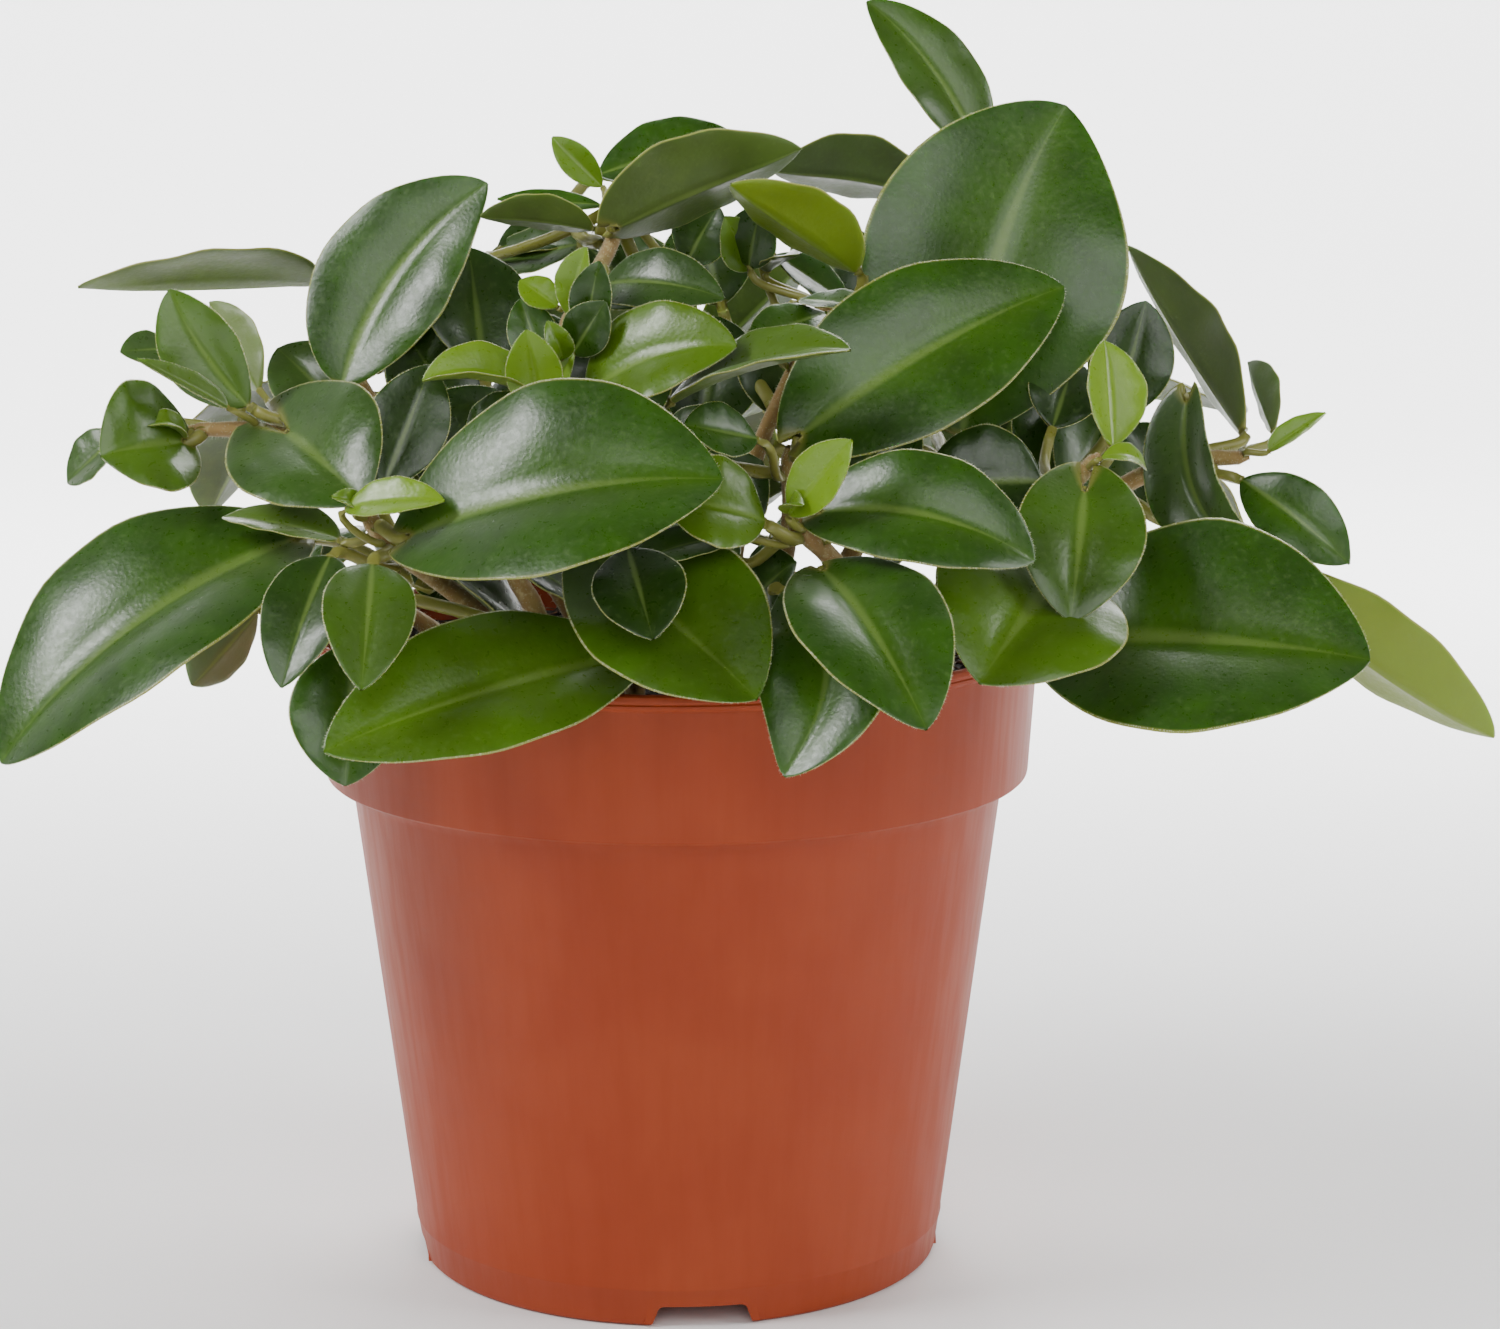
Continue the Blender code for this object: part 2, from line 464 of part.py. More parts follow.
def makeLeaf(name, shade):
    colour = [part * shade for part in (0.06, 0.17, 0.03)]
    smooth(build(name, *leafMesh(name), paint(name + "_skin", colour, 0.35)), 50)


def main():
    for item in list(bpy.data.objects):
        bpy.data.objects.remove(item)
    makePot(paint("pot_plastic", (0.42, 0.12, 0.06), 0.45))
    makeSoil(paint("potting_soil", (0.03, 0.015, 0.01), 0.95))
    for name in stems:
        makeStem(name)
    for number, name in enumerate(leaves):
        makeLeaf(name, 0.8 + 0.1 * (number % 5))


if __name__ == "__main__":
    main()
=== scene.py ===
# A potted peperomia: fleshy glossy leaves on short hairy stems, in a terracotta-coloured plastic nursery pot.
# Sizes are in millimetres and become metres when a mesh is made. X is to the right, Y to the back and Z up.

import bpy
import numpy as np
from math import cos, pi, radians, sin
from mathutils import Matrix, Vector


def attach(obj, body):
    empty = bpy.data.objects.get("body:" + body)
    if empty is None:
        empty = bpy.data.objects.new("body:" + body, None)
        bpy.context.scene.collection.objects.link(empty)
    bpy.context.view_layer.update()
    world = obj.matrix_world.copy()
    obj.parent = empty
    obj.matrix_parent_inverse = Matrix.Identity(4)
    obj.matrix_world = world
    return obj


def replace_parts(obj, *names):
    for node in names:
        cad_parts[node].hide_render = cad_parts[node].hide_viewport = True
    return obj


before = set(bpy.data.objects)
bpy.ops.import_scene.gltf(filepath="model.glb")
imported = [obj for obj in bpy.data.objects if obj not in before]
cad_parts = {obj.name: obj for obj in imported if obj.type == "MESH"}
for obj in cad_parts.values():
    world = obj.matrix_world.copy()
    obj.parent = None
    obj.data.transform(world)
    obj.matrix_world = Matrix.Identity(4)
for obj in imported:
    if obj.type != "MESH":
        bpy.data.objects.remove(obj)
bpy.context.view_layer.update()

leafShape = {
    "middleThick": 1.3,  # at the midrib, mm
    "edgeThick": 0.6,
    "stalkRadius": 1.0,
    "cup": 0.12,  # how much the edges turn up
    "ripple": 0.25,  # height of the waves along the edge, mm
    "groove": 0.3,  # depth of the midrib's groove on the upper face, mm
    "pillow": 0.09,  # how much each half of the blade bulges, a share of its half width
    "keel": 0.45,  # height of the midrib's ridge underneath, mm
    "along": 34,  # rings from base to tip
    "across": 17,  # points across each face
}
hairLook = {"perMm": 9.0, "length": 0.42, "thick": 0.026, "stemPerMm": 14.0, "stemLength": 0.5}
stemShape = {
    "foot": 96.0,  # height of a stem's lower end, inside the soil
    "upright": 5.4,  # how far it rises straight up from there
    "sides": 20,
    "joints": 4,
    "swell": 0.12,  # how much thicker a joint is, a share of the radius
}

# stems: the foot in the soil (x, y), the points the stem runs through, its thickness at the foot and the tip
stems = {
    "stem_left": ((-22, -6), [(-30, -14, 114), (-44, -24, 130), (-60, -26, 140), (-76, -24, 141)], 3.4, 2.2),
    "stem_front_left": ((-20, -24), [(-30, -36, 114), (-42, -48, 126), (-46, -51, 132)], 3.4, 2.4),
    "stem_low_front": ((-6, -32), [(-6, -44, 110), (-4, -54, 117)], 3.2, 2.6),
    "stem_front": ((14, -26), [(24, -40, 112), (27, -49, 120), (24, -51, 125), (18, -53, 131)], 3.4, 2.8),
    "stem_middle": (
        (-6, -6), [(-12, -18, 122), (-19, -28, 144), (-16, -24, 158), (-10, -8, 169), (-10, 2, 176)], 3.4, 2.2,
    ),
    "stem_inner": ((8, 4), [(12, 2, 130), (20, -6, 150), (25, -10, 160)], 3.0, 2.0),
    "stem_short": ((14, -8), [(18, -20, 122), (18, -30, 139)], 3.0, 2.4),
    "stem_tall": ((24, 14), [(40, 22, 135), (50, 28, 160), (49, 38, 177)], 3.4, 2.2),
    "stem_right": ((28, -10), [(44, -26, 116), (58, -36, 130), (66, -32, 138)], 3.4, 2.2),
    "stem_far_right": ((34, 4), [(58, -4, 120), (78, -10, 133), (92, -12, 135)], 3.4, 2.2),
    "stem_left_back": ((-16, 12), [(-30, 6, 122), (-50, -4, 144), (-56, 8, 162)], 3.2, 2.2),
    "stem_back_left": ((-24, 26), [(-44, 44, 122), (-62, 58, 138)], 3.4, 2.2),
    "stem_back": ((2, 34), [(2, 56, 122), (0, 72, 138)], 3.4, 2.2),
    "stem_back_right": ((28, 30), [(50, 50, 120), (70, 62, 132)], 3.4, 2.2),
    "stem_low_left": ((-38, 2), [(-54, 0, 112), (-70, 4, 118)], 3.2, 2.2),
}

# leaves: the stem and how far along it, where the blade starts, where its tip ends, the blade's width,
# where its upper face looks (bearing, rise), how much it arches, sweeps sideways and folds up, its widest place
# and how far its base lobes reach back
leaves = {
    "leaf_01": ("stem_left_back", 0.97, (-59, 11, 161), (-97, 1, 161), 28, (95, 72), 0, 0, 4, 0.35, 0),
    "leaf_02": ("stem_left_back", 0.68, (-53, -11, 146), (-30, -4, 178), 24, (-105, 25), 0, -0.1, 6, 0.45, 0),
    "leaf_03": ("stem_middle", 0.45, (-31, -6, 148), (-34, 6, 167), 19, (-70, 20), 0, 0, 6, 0.5, 0),
    "leaf_05": ("stem_left", 0.76, (-66, -27, 145), (-78, -26, 163), 13, (-110, 20), 0, -0.05, 12, 0.5, 0),
    "leaf_11": ("stem_left", 0.97, (-77, -27, 139), (-88, -35, 138), 21, (-110, 20), 0.05, 0, 14, 0.45, 0.2),
    "leaf_13": ("stem_left", 0.66, (-59, -33, 141), (-46, -50, 133), 25, (-110, 45), 0.05, 0, 8, 0.4, 0.55),
    "leaf_14": ("stem_front_left", 0.85, (-44, -41, 134), (-37, -34, 152), 13, (-80, 25), 0, 0, 10, 0.5, 0),
    "leaf_15": ("stem_front_left", 0.5, (-38, -30, 132), (-28, -22, 147), 17, (-90, 30), 0, 0, 8, 0.5, 0),
    "leaf_19": ("stem_front_left", 0.6, (-58, -37, 125), (-102, -50, 93), 37, (-110, 55), 0.1, 0, 6, 0.45, 0.05),
    "leaf_21": ("stem_front_left", 0.78, (-51, -52, 125), (-57, -67, 108), 13, (-100, 10), 0.06, 0, 12, 0.45, 0),
    "leaf_22": ("stem_front_left", 0.88, (-44, -60, 125), (-44, -79, 110), 14, (-80, 30), 0.05, 0, 10, 0.45, 0),
    "leaf_23": ("stem_low_front", 0.6, (-47, -56, 113), (-48, -66, 93), 18, (-90, 25), 0.03, 0, 6, 0.5, 0),
    "leaf_24": ("stem_low_front", 0.8, (-4, -52, 110), (-50, -75, 100), 25, (-90, 45), 0.05, 0, 6, 0.5, 0),
    "leaf_25": ("stem_low_front", 0.97, (-12, -54, 126), (13, -76, 108), 28, (-90, 45), 0.02, 0, 6, 0.5, 0.1),
    "leaf_27": ("stem_front_left", 0.95, (-38, -58, 129), (8, -68, 139), 36, (-90, 45), 0.08, 0, 8, 0.5, 0.1),
    "leaf_29": ("stem_front", 0.95, (14, -57, 131), (-1, -61, 135), 16, (-90, 40), 0.07, 0, 8, 0.5, 0),
    "leaf_34": ("stem_front", 0.88, (23, -54, 132), (54, -62, 126), 20, (-90, 40), 0.12, -0.03, 8, 0.45, 0.12),
    "leaf_35": ("stem_front", 0.76, (23, -61, 124), (37, -88, 106), 23, (-80, 35), 0.08, 0, 6, 0.45, 0.1),
    "leaf_36": ("stem_front", 0.48, (17, -53, 120), (17, -78, 97), 22, (-100, 35), 0.08, -0.2, 6, 0.5, 0),
    "leaf_37": ("stem_right", 0.9, (57, -35, 134), (38, -34, 133), 18, (-90, 30), 0.05, 0, 6, 0.45, 0),
    "leaf_38": ("stem_right", 0.65, (58, -46, 120), (46, -64, 108), 31, (-90, 35), 0.06, 0, 6, 0.4, 0.15),
    "leaf_40": ("stem_right", 0.85, (63, -41, 133), (60, -56, 116), 20, (-90, 25), 0.05, 0, 8, 0.42, 0.3),
    "leaf_42": ("stem_far_right", 0.85, (82, -13, 144), (93, -35, 122), 15, (-150, 25), 0, 0.2, 20, 0.36, 0.1),
    "leaf_46": ("stem_far_right", 0.9, (92, -3, 138), (74, 9, 167), 20, (30, 30), 0.04, 0.1, 10, 0.45, 0),
    "leaf_53": ("stem_right", 0.7, (60, -39, 110), (105, -56, 110), 41, (-90, 45), 0.04, 0, 6, 0.45, 0.1),
    "leaf_54": ("stem_far_right", 0.72, (94, -8, 117), (132, -16, 90), 23, (80, 50), -0.05, 0, 10, 0.5, 0),
    "leaf_57": ("stem_middle", 0.9, (-9, -12, 172), (20, -12, 184), 21, (90, 50), 0.02, 0, 8, 0.4, 0.1),
    "leaf_59": ("stem_middle", 0.9, (-13, -7, 171), (-31, -8, 173), 11, (90, 55), 0.04, 0, 8, 0.45, 0),
    "leaf_67": ("stem_middle", 0.8, (-11, -22, 163), (8, -32, 162), 12, (-90, 40), 0.1, 0, 8, 0.45, 0),
    "leaf_70": ("stem_middle", 0.52, (-13, -34, 147), (10, -44, 156), 18, (-100, 40), 0.08, -0.05, 8, 0.45, 0),
    "leaf_71": ("stem_short", 0.9, (0, -38, 147), (27, -50, 156), 15, (-90, 70), 0.06, 0, 15, 0.5, 0),
    "leaf_74": ("stem_inner", 0.95, (29, -15, 165), (9, -22, 179), 18, (60, 45), 0, 0, 10, 0.45, 0),
    "leaf_76": ("stem_tall", 0.5, (46, -11, 138), (63, 3, 190), 43, (-90, 15), 0.04, -0.06, 6, 0.48, 0),
    "leaf_77": ("stem_short", 0.97, (20, -33, 141), (61, -22, 163), 28, (-90, 35), 0.04, -0.02, 6, 0.45, 0.08),
    "leaf_78": ("stem_tall", 0.97, (52, 40, 178), (32, 46, 206), 15, (-60, 10), 0, 0.08, 8, 0.5, 0),
    "leaf_79": ("stem_tall", 0.9, (43, 32, 174), (16, 30, 178), 18, (90, 50), 0.05, 0, 8, 0.5, 0),
    "leaf_81": ("stem_back_left", 0.97, (-66, 60, 137), (-88, 80, 112), 24, (130, 50), 0.1, 0, 6, 0.45, 0.05),
    "leaf_82": ("stem_back_left", 0.75, (-48, 50, 134), (-20, 62, 150), 24, (90, 50), 0.05, 0, 6, 0.45, 0.05),
    "leaf_83": ("stem_back", 0.97, (2, 77, 136), (8, 94, 102), 24, (80, 30), 0.1, 0, 6, 0.45, 0.05),
    "leaf_84": ("stem_back", 0.7, (8, 58, 131), (38, 76, 140), 24, (90, 50), 0.1, 0, 6, 0.45, 0),
    "leaf_85": ("stem_back_right", 0.97, (76, 62, 129), (101, 66, 104), 25, (20, 50), 0.1, 0, 6, 0.45, 0),
    "leaf_86": ("stem_back_right", 0.8, (63, 62, 126), (66, 92, 108), 25, (80, 50), 0.1, 0, 6, 0.45, 0.05),
}

# small young leaves and buds, written the same way, that grow in one piece with their stem
buds = {
    "bud_06": ("stem_left", 0.7, (-66, -14, 146), (-75, -4, 159), 10, (70, 20), 0, 0, 10, 0.5, 0),
    "bud_12": ("stem_left", 0.9, (-88, -16, 139), (-97, -14, 131), 10, (-120, 40), 0, 0, 10, 0.5, 0),
    "bud_16": ("stem_front_left", 0.92, (-50, -49, 127), (-69, -38, 129), 10, (-90, 70), 0.03, 0, 12, 0.45, 0),
    "bud_18": ("stem_front_left", 0.9, (-48, -57, 133), (-33, -62, 135), 8, (-90, 50), 0.05, 0, 14, 0.45, 0),
    "bud_31": ("stem_front", 0.96, (18, -56, 132), (27, -62, 144), 9, (-110, 20), 0, 0, 14, 0.5, 0),
    "bud_41": ("stem_right", 0.95, (66, -37, 138), (73, -35, 136), 5, (-90, 60), 0.2, 0, 14, 0.5, 0),
    "bud_43": ("stem_right", 0.98, (68, -31, 139), (67, -26, 155), 12, (-60, 10), 0, 0, 20, 0.5, 0),
    "bud_44": ("stem_far_right", 0.6, (71, -5, 140), (76, -2, 159), 14, (-90, 20), 0, 0, 6, 0.5, 0),
    "bud_47": ("stem_far_right", 0.98, (97, -3, 138), (94, 8, 148), 10, (40, 20), 0, 0, 10, 0.5, 0),
    "bud_49": ("stem_far_right", 0.99, (95, -13, 136), (104, -12, 142), 5, (-90, 60), 0, 0, 25, 0.4, 0),
    "bud_51": ("stem_far_right", 0.92, (92, -15, 131), (107, -21, 119), 10, (-60, 40), 0.1, 0, 8, 0.45, 0),
    "bud_56": ("stem_middle", 0.99, (-12, 4, 177), (-20, 4, 185), 6, (-120, 30), 0, 0, 25, 0.5, 0),
    "bud_60": ("stem_middle", 0.9, (-16, 9, 167), (-33, 14, 163), 11, (-90, 50), 0, 0, 8, 0.45, 0),
    "bud_63": ("stem_middle", 0.68, (-16, -28, 159), (-13, -32, 170), 7, (-120, 10), 0, 0, 20, 0.5, 0),
    "bud_68": ("stem_inner", 0.8, (20, -12, 160), (30, -24, 160), 7, (-90, 60), 0, 0, 10, 0.5, 0),
    "bud_20": ("stem_low_left", 0.97, (-69, -1, 108), (-79, -8, 97), 13, (100, 30), 0, 0, 10, 0.5, 0),
    "bud_87": ("stem_low_left", 0.9, (-68, 9, 117), (-95, 32, 103), 24, (150, 50), 0.1, 0, 6, 0.45, 0.05),
    "bud_88": ("stem_low_left", 0.7, (-58, 8, 114), (-70, 42, 106), 22, (120, 50), 0.1, 0, 6, 0.45, 0.05),
    "bud_91": ("stem_back_left", 0.85, (-62, 50, 136), (-92, 36, 126), 24, (160, 60), 0.1, 0, 6, 0.45, 0.05),
    "bud_92": ("stem_back_left", 0.92, (-56, 66, 135), (-42, 94, 116), 20, (80, 45), 0.1, 0, 6, 0.45, 0),
    "bud_93": ("stem_back_left", 0.97, (-63, 58, 141), (-60, 66, 158), 13, (180, 20), 0, 0, 14, 0.5, 0),
    "bud_94": ("stem_back", 0.9, (-7, 68, 133), (-40, 86, 112), 18, (110, 50), 0.05, 0, 6, 0.45, 0),
    "bud_95": ("stem_back", 0.95, (-3, 68, 140), (-10, 62, 166), 18, (90, 20), 0, 0, 10, 0.5, 0),
    "bud_96": ("stem_back", 0.97, (3, 73, 141), (22, 74, 160), 16, (120, 20), 0, 0, 12, 0.5, 0),
    "bud_97": ("stem_back_right", 0.9, (73, 54, 137), (96, 28, 137), 22, (30, 75), 0.05, 0, 6, 0.45, 0),
    "bud_98": ("stem_back_right", 0.95, (68, 60, 135), (52, 72, 156), 20, (110, 20), 0, 0, 10, 0.5, 0),
    "bud_99": ("stem_back_right", 0.7, (50, 52, 124), (26, 74, 114), 16, (120, 50), 0.03, 0, 6, 0.45, 0),
}

# young leaves, curls and spears too small for a solid of their own, written the same way
sprigs = {
    "sprig_04": ("stem_middle", 0.42, (-21, -34, 147), (-38, -38, 150), 11, (-100, 62), 0.12, 0, 34, 0.5, 0.1),
    "sprig_07": ("stem_left", 0.9, (-80, -10, 152), (-88, -14, 152), 7, (-90, 40), 0, 0, 8, 0.5, 0),
    "sprig_08": ("stem_left", 0.86, (-69, -30, 145), (-82, -35, 153), 5, (-120, 50), 0, 0, 30, 0.4, 0),
    "sprig_09": ("stem_left", 0.99, (-76, -27, 140), (-82, -30, 142), 5, (-90, 60), 0.2, 0, 30, 0.5, 0),
    "sprig_17": ("stem_front_left", 0.99, (-47, -54, 132), (-50, -58, 135), 4, (-90, 40), 0.2, 0, 30, 0.5, 0),
    "sprig_26": ("stem_low_front", 0.95, (-6, -63, 128), (-2, -77, 117), 14, (-90, 35), 0.02, 0, 6, 0.5, 0),
    "sprig_28": ("stem_front", 0.95, (10, -58, 129), (-6, -66, 126), 8, (-90, 60), 0.05, 0, 6, 0.5, 0),
    "sprig_30": ("stem_short", 0.9, (13, -38, 141), (2, -44, 144), 10, (-90, 40), 0, 0, 6, 0.5, 0),
    "sprig_32": ("stem_front", 0.99, (18, -55, 132), (20, -60, 134), 4, (-90, 40), 0.2, 0, 30, 0.5, 0),
    "sprig_45": ("stem_right", 0.9, (60, -16, 140), (64, -8, 150), 12, (-90, 20), 0, 0, 6, 0.5, 0),
    "sprig_52": ("stem_far_right", 0.88, (90, -18, 132), (106, -26, 120), 12, (-90, 20), 0.1, 0, 8, 0.5, 0),
    "sprig_58": ("stem_middle", 0.9, (-13, 13, 178), (9, 16, 185), 14, (-90, 50), 0, 0, 6, 0.5, 0),
    "sprig_61": ("stem_middle", 0.92, (-12, 2, 174), (-29, 4, 175), 5, (-90, 50), 0, 0, 8, 0.5, 0),
    "sprig_62": ("stem_middle", 0.5, (-20, -37, 145), (-22, -39, 158), 9, (-90, 20), 0, 0, 12, 0.5, 0),
    "sprig_65": ("stem_middle", 0.62, (-17, -33, 153), (-19, -36, 159), 5, (-90, 30), 0.2, 0, 30, 0.5, 0),
    "sprig_64": ("stem_middle", 0.7, (-18, -24, 160), (-24, -22, 164), 6, (-90, 40), 0, 0, 8, 0.5, 0),
    "sprig_72": ("stem_middle", 0.6, (-20, -24, 150), (-24, -20, 161), 8, (-90, 20), 0, 0, 8, 0.5, 0),
    "sprig_73": ("stem_middle", 0.55, (-19, -31, 147), (-15, -33, 154), 4, (-90, 20), 0, 0, 30, 0.4, 0),
    "sprig_69": ("stem_inner", 0.9, (24, -14, 158), (12, -24, 155), 9, (-90, 50), 0, 0, 8, 0.5, 0),
    "sprig_75": ("stem_inner", 0.85, (16, 2, 166), (28, 2, 158), 9, (-60, 50), 0, 0, 8, 0.5, 0),
    "sprig_80": ("stem_inner", 0.97, (12, -2, 164), (8, -8, 173), 8, (-90, 30), 0, 0, 12, 0.5, 0),
}

# small leaves of one build that fill the gaps between the large ones; their rows stop before the arch
innerBend = (0.05, 0, 8, 0.48, 0.05)
innerLeaves = [
    ("stem_left_back", 0.54, (-33, -5, 137), (-45, 5, 154), 16, (-90, 30)),
    ("stem_left_back", 0.45, (-19, 0, 139), (-24, 10, 156), 16, (-80, 30)),
    ("stem_middle", 0.35, (-13, 0, 136), (-5, 10, 151), 18, (-100, 25)),
    ("stem_inner", 0.54, (4, 5, 137), (7, 12, 155), 18, (-90, 25)),
    ("stem_middle", 0.4, (-4, -25, 135), (11, -30, 143), 12, (-90, 50)),
    ("stem_inner", 0.64, (20, 5, 139), (15, 10, 156), 16, (-90, 20)),
    ("stem_inner", 0.59, (30, 0, 130), (36, 4, 142), 16, (-90, 30)),
    ("stem_tall", 0.45, (54, 12, 130), (56, 20, 140), 18, (-80, 30)),
    ("stem_far_right", 0.54, (60, 5, 129), (65, 15, 143), 17, (-80, 20)),
    ("stem_far_right", 0.68, (72, 0, 126), (81, 8, 137), 14, (-60, 40)),
    ("stem_middle", 0.35, (-21, -25, 124), (-35, -20, 137), 16, (-90, 35)),
    ("stem_middle", 0.35, (-11, -32, 120), (-24, -36, 131), 14, (-90, 45)),
    ("stem_short", 0.64, (9, -30, 120), (-3, -42, 127), 13, (-90, 55)),
    ("stem_right", 0.4, (32, -25, 120), (44, -34, 128), 14, (-80, 50)),
    ("stem_far_right", 0.49, (57, -15, 119), (47, -20, 129), 15, (-90, 30)),
    ("stem_left_back", 0.68, (-53, 0, 139), (-66, 10, 150), 14, (-100, 40)),
    ("stem_middle", 0.97, (-6, 20, 157), (-17, 26, 167), 16, (-100, 30)),
    ("stem_inner", 0.68, (7, 20, 157), (3, 26, 171), 16, (-90, 20)),
    ("stem_tall", 0.64, (24, 26, 157), (29, 32, 169), 16, (-90, 20)),
    ("stem_middle", 0.97, (2, 4, 165), (7, 2, 174), 10, (-90, 30)),
    ("stem_inner", 0.97, (12, -4, 165), (14, -8, 175), 9, (-100, 30)),
    ("stem_inner", 0.97, (15, -2, 164), (20, -8, 167), 8, (-60, 50)),
    ("stem_middle", 0.4, (-19, -12, 134), (-11, -8, 144), 15, (-70, 30)),
    ("stem_front_left", 0.45, (-33, -30, 116), (-39, -36, 128), 13, (-90, 30)),
    ("stem_inner", 0.4, (4, -10, 124), (14, -10, 134), 16, (-90, 30)),
    ("stem_right", 0.4, (39, -30, 108), (29, -40, 118), 13, (-90, 40)),
    ("stem_far_right", 0.49, (67, -12, 105), (56, -25, 116), 14, (-90, 40)),
    ("stem_middle", 0.97, (-29, 14, 166), (-13, 18, 169), 12, (-90, 60)),
    ("stem_middle", 0.64, (-13, -32, 157), (-11, -34, 168), 7, (-100, 20)),
    ("stem_middle", 0.64, (-15, -33, 154), (-10, -36, 162), 8, (-80, 30)),
    ("stem_front_left", 0.35, (-22, -38, 108), (-33, -50, 122), 18, (-90, 60)),
    ("stem_low_front", 0.64, (-13, -42, 115), (-26, -52, 125), 16, (-90, 60)),
    ("stem_low_front", 0.54, (1, -40, 110), (-11, -50, 120), 16, (-90, 60)),
    ("stem_front", 0.97, (10, -46, 124), (3, -50, 130), 12, (-90, 50)),
    ("stem_front", 0.54, (13, -44, 117), (19, -50, 124), 12, (-90, 40)),
    ("stem_middle", 0.49, (-31, -36, 136), (-20, -40, 147), 14, (-90, 50)),
]
inner = {f"inner_{number:02d}": (*row, *innerBend) for number, row in enumerate(innerLeaves, 1)}

# how each leaf's colour is moved from the plain dark green: (young lime, dark, silvery grey), each 0 to 1; the
# dark share is painted shade, darkening leaves that lie in shade
leafTones = {
    "leaf_01": (0.15, 0, 0), "leaf_03": (0, 0.6, 0.1), "leaf_05": (0.2, 0, 0.1),
    "leaf_11": (0.2, 0, 0.2), "leaf_13": (0, 0.1, 0.3), "leaf_14": (0, 0.8, 0.1),
    "leaf_15": (0, 0.9, 0), "leaf_21": (0, 0.5, 0.1), "leaf_22": (0.15, 0.1, 0.2),
    "leaf_24": (0.2, 0, 0), "leaf_25": (0.15, 0, 0), "leaf_29": (0.35, 0.1, 0),
    "leaf_37": (0, 0.8, 0), "leaf_38": (0.25, 0, 0), "leaf_40": (0.1, 0.1, 0.1),
    "leaf_42": (0, 0.1, 0.6), "leaf_46": (0.1, 0, 0.6), "leaf_54": (0.7, 0, 0),
    "leaf_57": (0.1, 0.1, 0.2), "leaf_59": (0.1, 0, 0.2), "leaf_67": (0, 0.5, 0.3),
    "leaf_70": (0.35, 0, 0), "leaf_71": (0.3, 0.1, 0.1), "leaf_74": (0.6, 0, 0),
    "leaf_79": (0, 0.1, 0.5), "leaf_78": (0.1, 0.1, 0.1), "bud_06": (0.3, 0, 0.3),
    "bud_12": (0, 0.1, 0.8), "bud_16": (0.3, 0, 0.3), "bud_18": (0.9, 0, 0),
    "bud_31": (0.9, 0, 0.1), "bud_41": (0.8, 0, 0.1), "bud_43": (0.9, 0, 0),
    "bud_44": (0, 0.7, 0), "bud_47": (0.1, 0, 0.5), "bud_49": (0.8, 0, 0.3),
    "bud_56": (0.7, 0, 0.2), "bud_60": (0, 0.2, 0.6), "bud_63": (0.8, 0, 0.1),
    "bud_20": (0.2, 0, 0.9), "sprig_07": (0, 0, 0.9), "sprig_08": (0.5, 0.2, 0.4),
    "sprig_09": (0.6, 0, 0.3), "sprig_17": (0.6, 0, 0.2), "sprig_26": (0, 0.8, 0),
    "sprig_32": (0.7, 0, 0.2), "sprig_64": (0.7, 0, 0), "sprig_73": (0.8, 0, 0.2),
    "sprig_80": (0.4, 0, 0.2), "sprig_45": (0, 0.8, 0), "sprig_04": (0.8, 0, 0.1),
    "sprig_62": (0.75, 0, 0), "sprig_65": (0.5, 0, 0), "inner_16": (0, 0, 0.8),
    "inner_05": (0, 0.2, 0.5),
}
# painted shade: plain leaves are darkened a little, the inner leaves deep in the crown much more
plainTone, innerShadeTone = (0.0, 0.1, 0.0), (0.0, 0.6, 0.0)


def unit(vector):
    return vector / np.linalg.norm(vector, axis=-1, keepdims=True)


def looking(bearing, rise):
    bearing, rise = radians(bearing), radians(rise)
    return np.array([cos(bearing) * cos(rise), sin(bearing) * cos(rise), sin(rise)])


# sRGB hex to the linear colour that a shader takes
def linear(code, alpha=1.0):
    parts = [int(code[i : i + 2], 16) / 255 for i in (1, 3, 5)]
    return (*[p / 12.92 if p <= 0.04045 else ((p + 0.055) / 1.055) ** 2.4 for p in parts], alpha)


# nodes and materials

# a new material and its shader, with the constants that the shader starts from
def newMaterial(name, inputs):
    material = bpy.data.materials.new(name)
    material.use_nodes = True
    shader = material.node_tree.nodes["Principled BSDF"]
    for key, value in inputs.items():
        shader.inputs[key].default_value = value
    return material, shader


# adds a node; an input is a value or the output socket that feeds it
def addNode(material, kind, inputs=None, **settings):
    node = material.node_tree.nodes.new(kind)
    for key, value in settings.items():
        setattr(node, key, value)
    for key, value in (inputs or {}).items():
        if isinstance(value, bpy.types.NodeSocket):
            material.node_tree.links.new(value, node.inputs[key])
        else:
            node.inputs[key].default_value = value
    return node


def link(material, output, target):
    material.node_tree.links.new(output, target)


# the first colour turning into the second as the factor goes from 0 to 1
def mixColour(material, factor, first, second):
    return addNode(material, "ShaderNodeMix", {0: factor, 6: first, 7: second}, data_type="RGBA").outputs[2]


def sums(material, operation, *values):
    return addNode(material, "ShaderNodeMath", dict(enumerate(values)), operation=operation).outputs[0]


# a value moved smoothly from one range onto another, and held at its ends
def ramp(material, value, low, high, fromValue=0.0, toValue=1.0):
    limits = {"Value": value, "From Min": low, "From Max": high, "To Min": fromValue, "To Max": toValue}
    return addNode(material, "ShaderNodeMapRange", limits, interpolation_type="SMOOTHSTEP").outputs["Result"]


# cloudy noise whose lumps are about size millimetres across
def noise(material, place, size, detail=3.0):
    inputs = {"Vector": place, "Scale": 1000 / size, "Detail": detail, "Roughness": 0.55}
    return addNode(material, "ShaderNodeTexNoise", inputs).outputs["Fac"]


def bump(material, height, strength, distance):
    inputs = {"Height": height, "Strength": strength, "Distance": distance / 1000}
    return addNode(material, "ShaderNodeBump", inputs).outputs["Normal"]


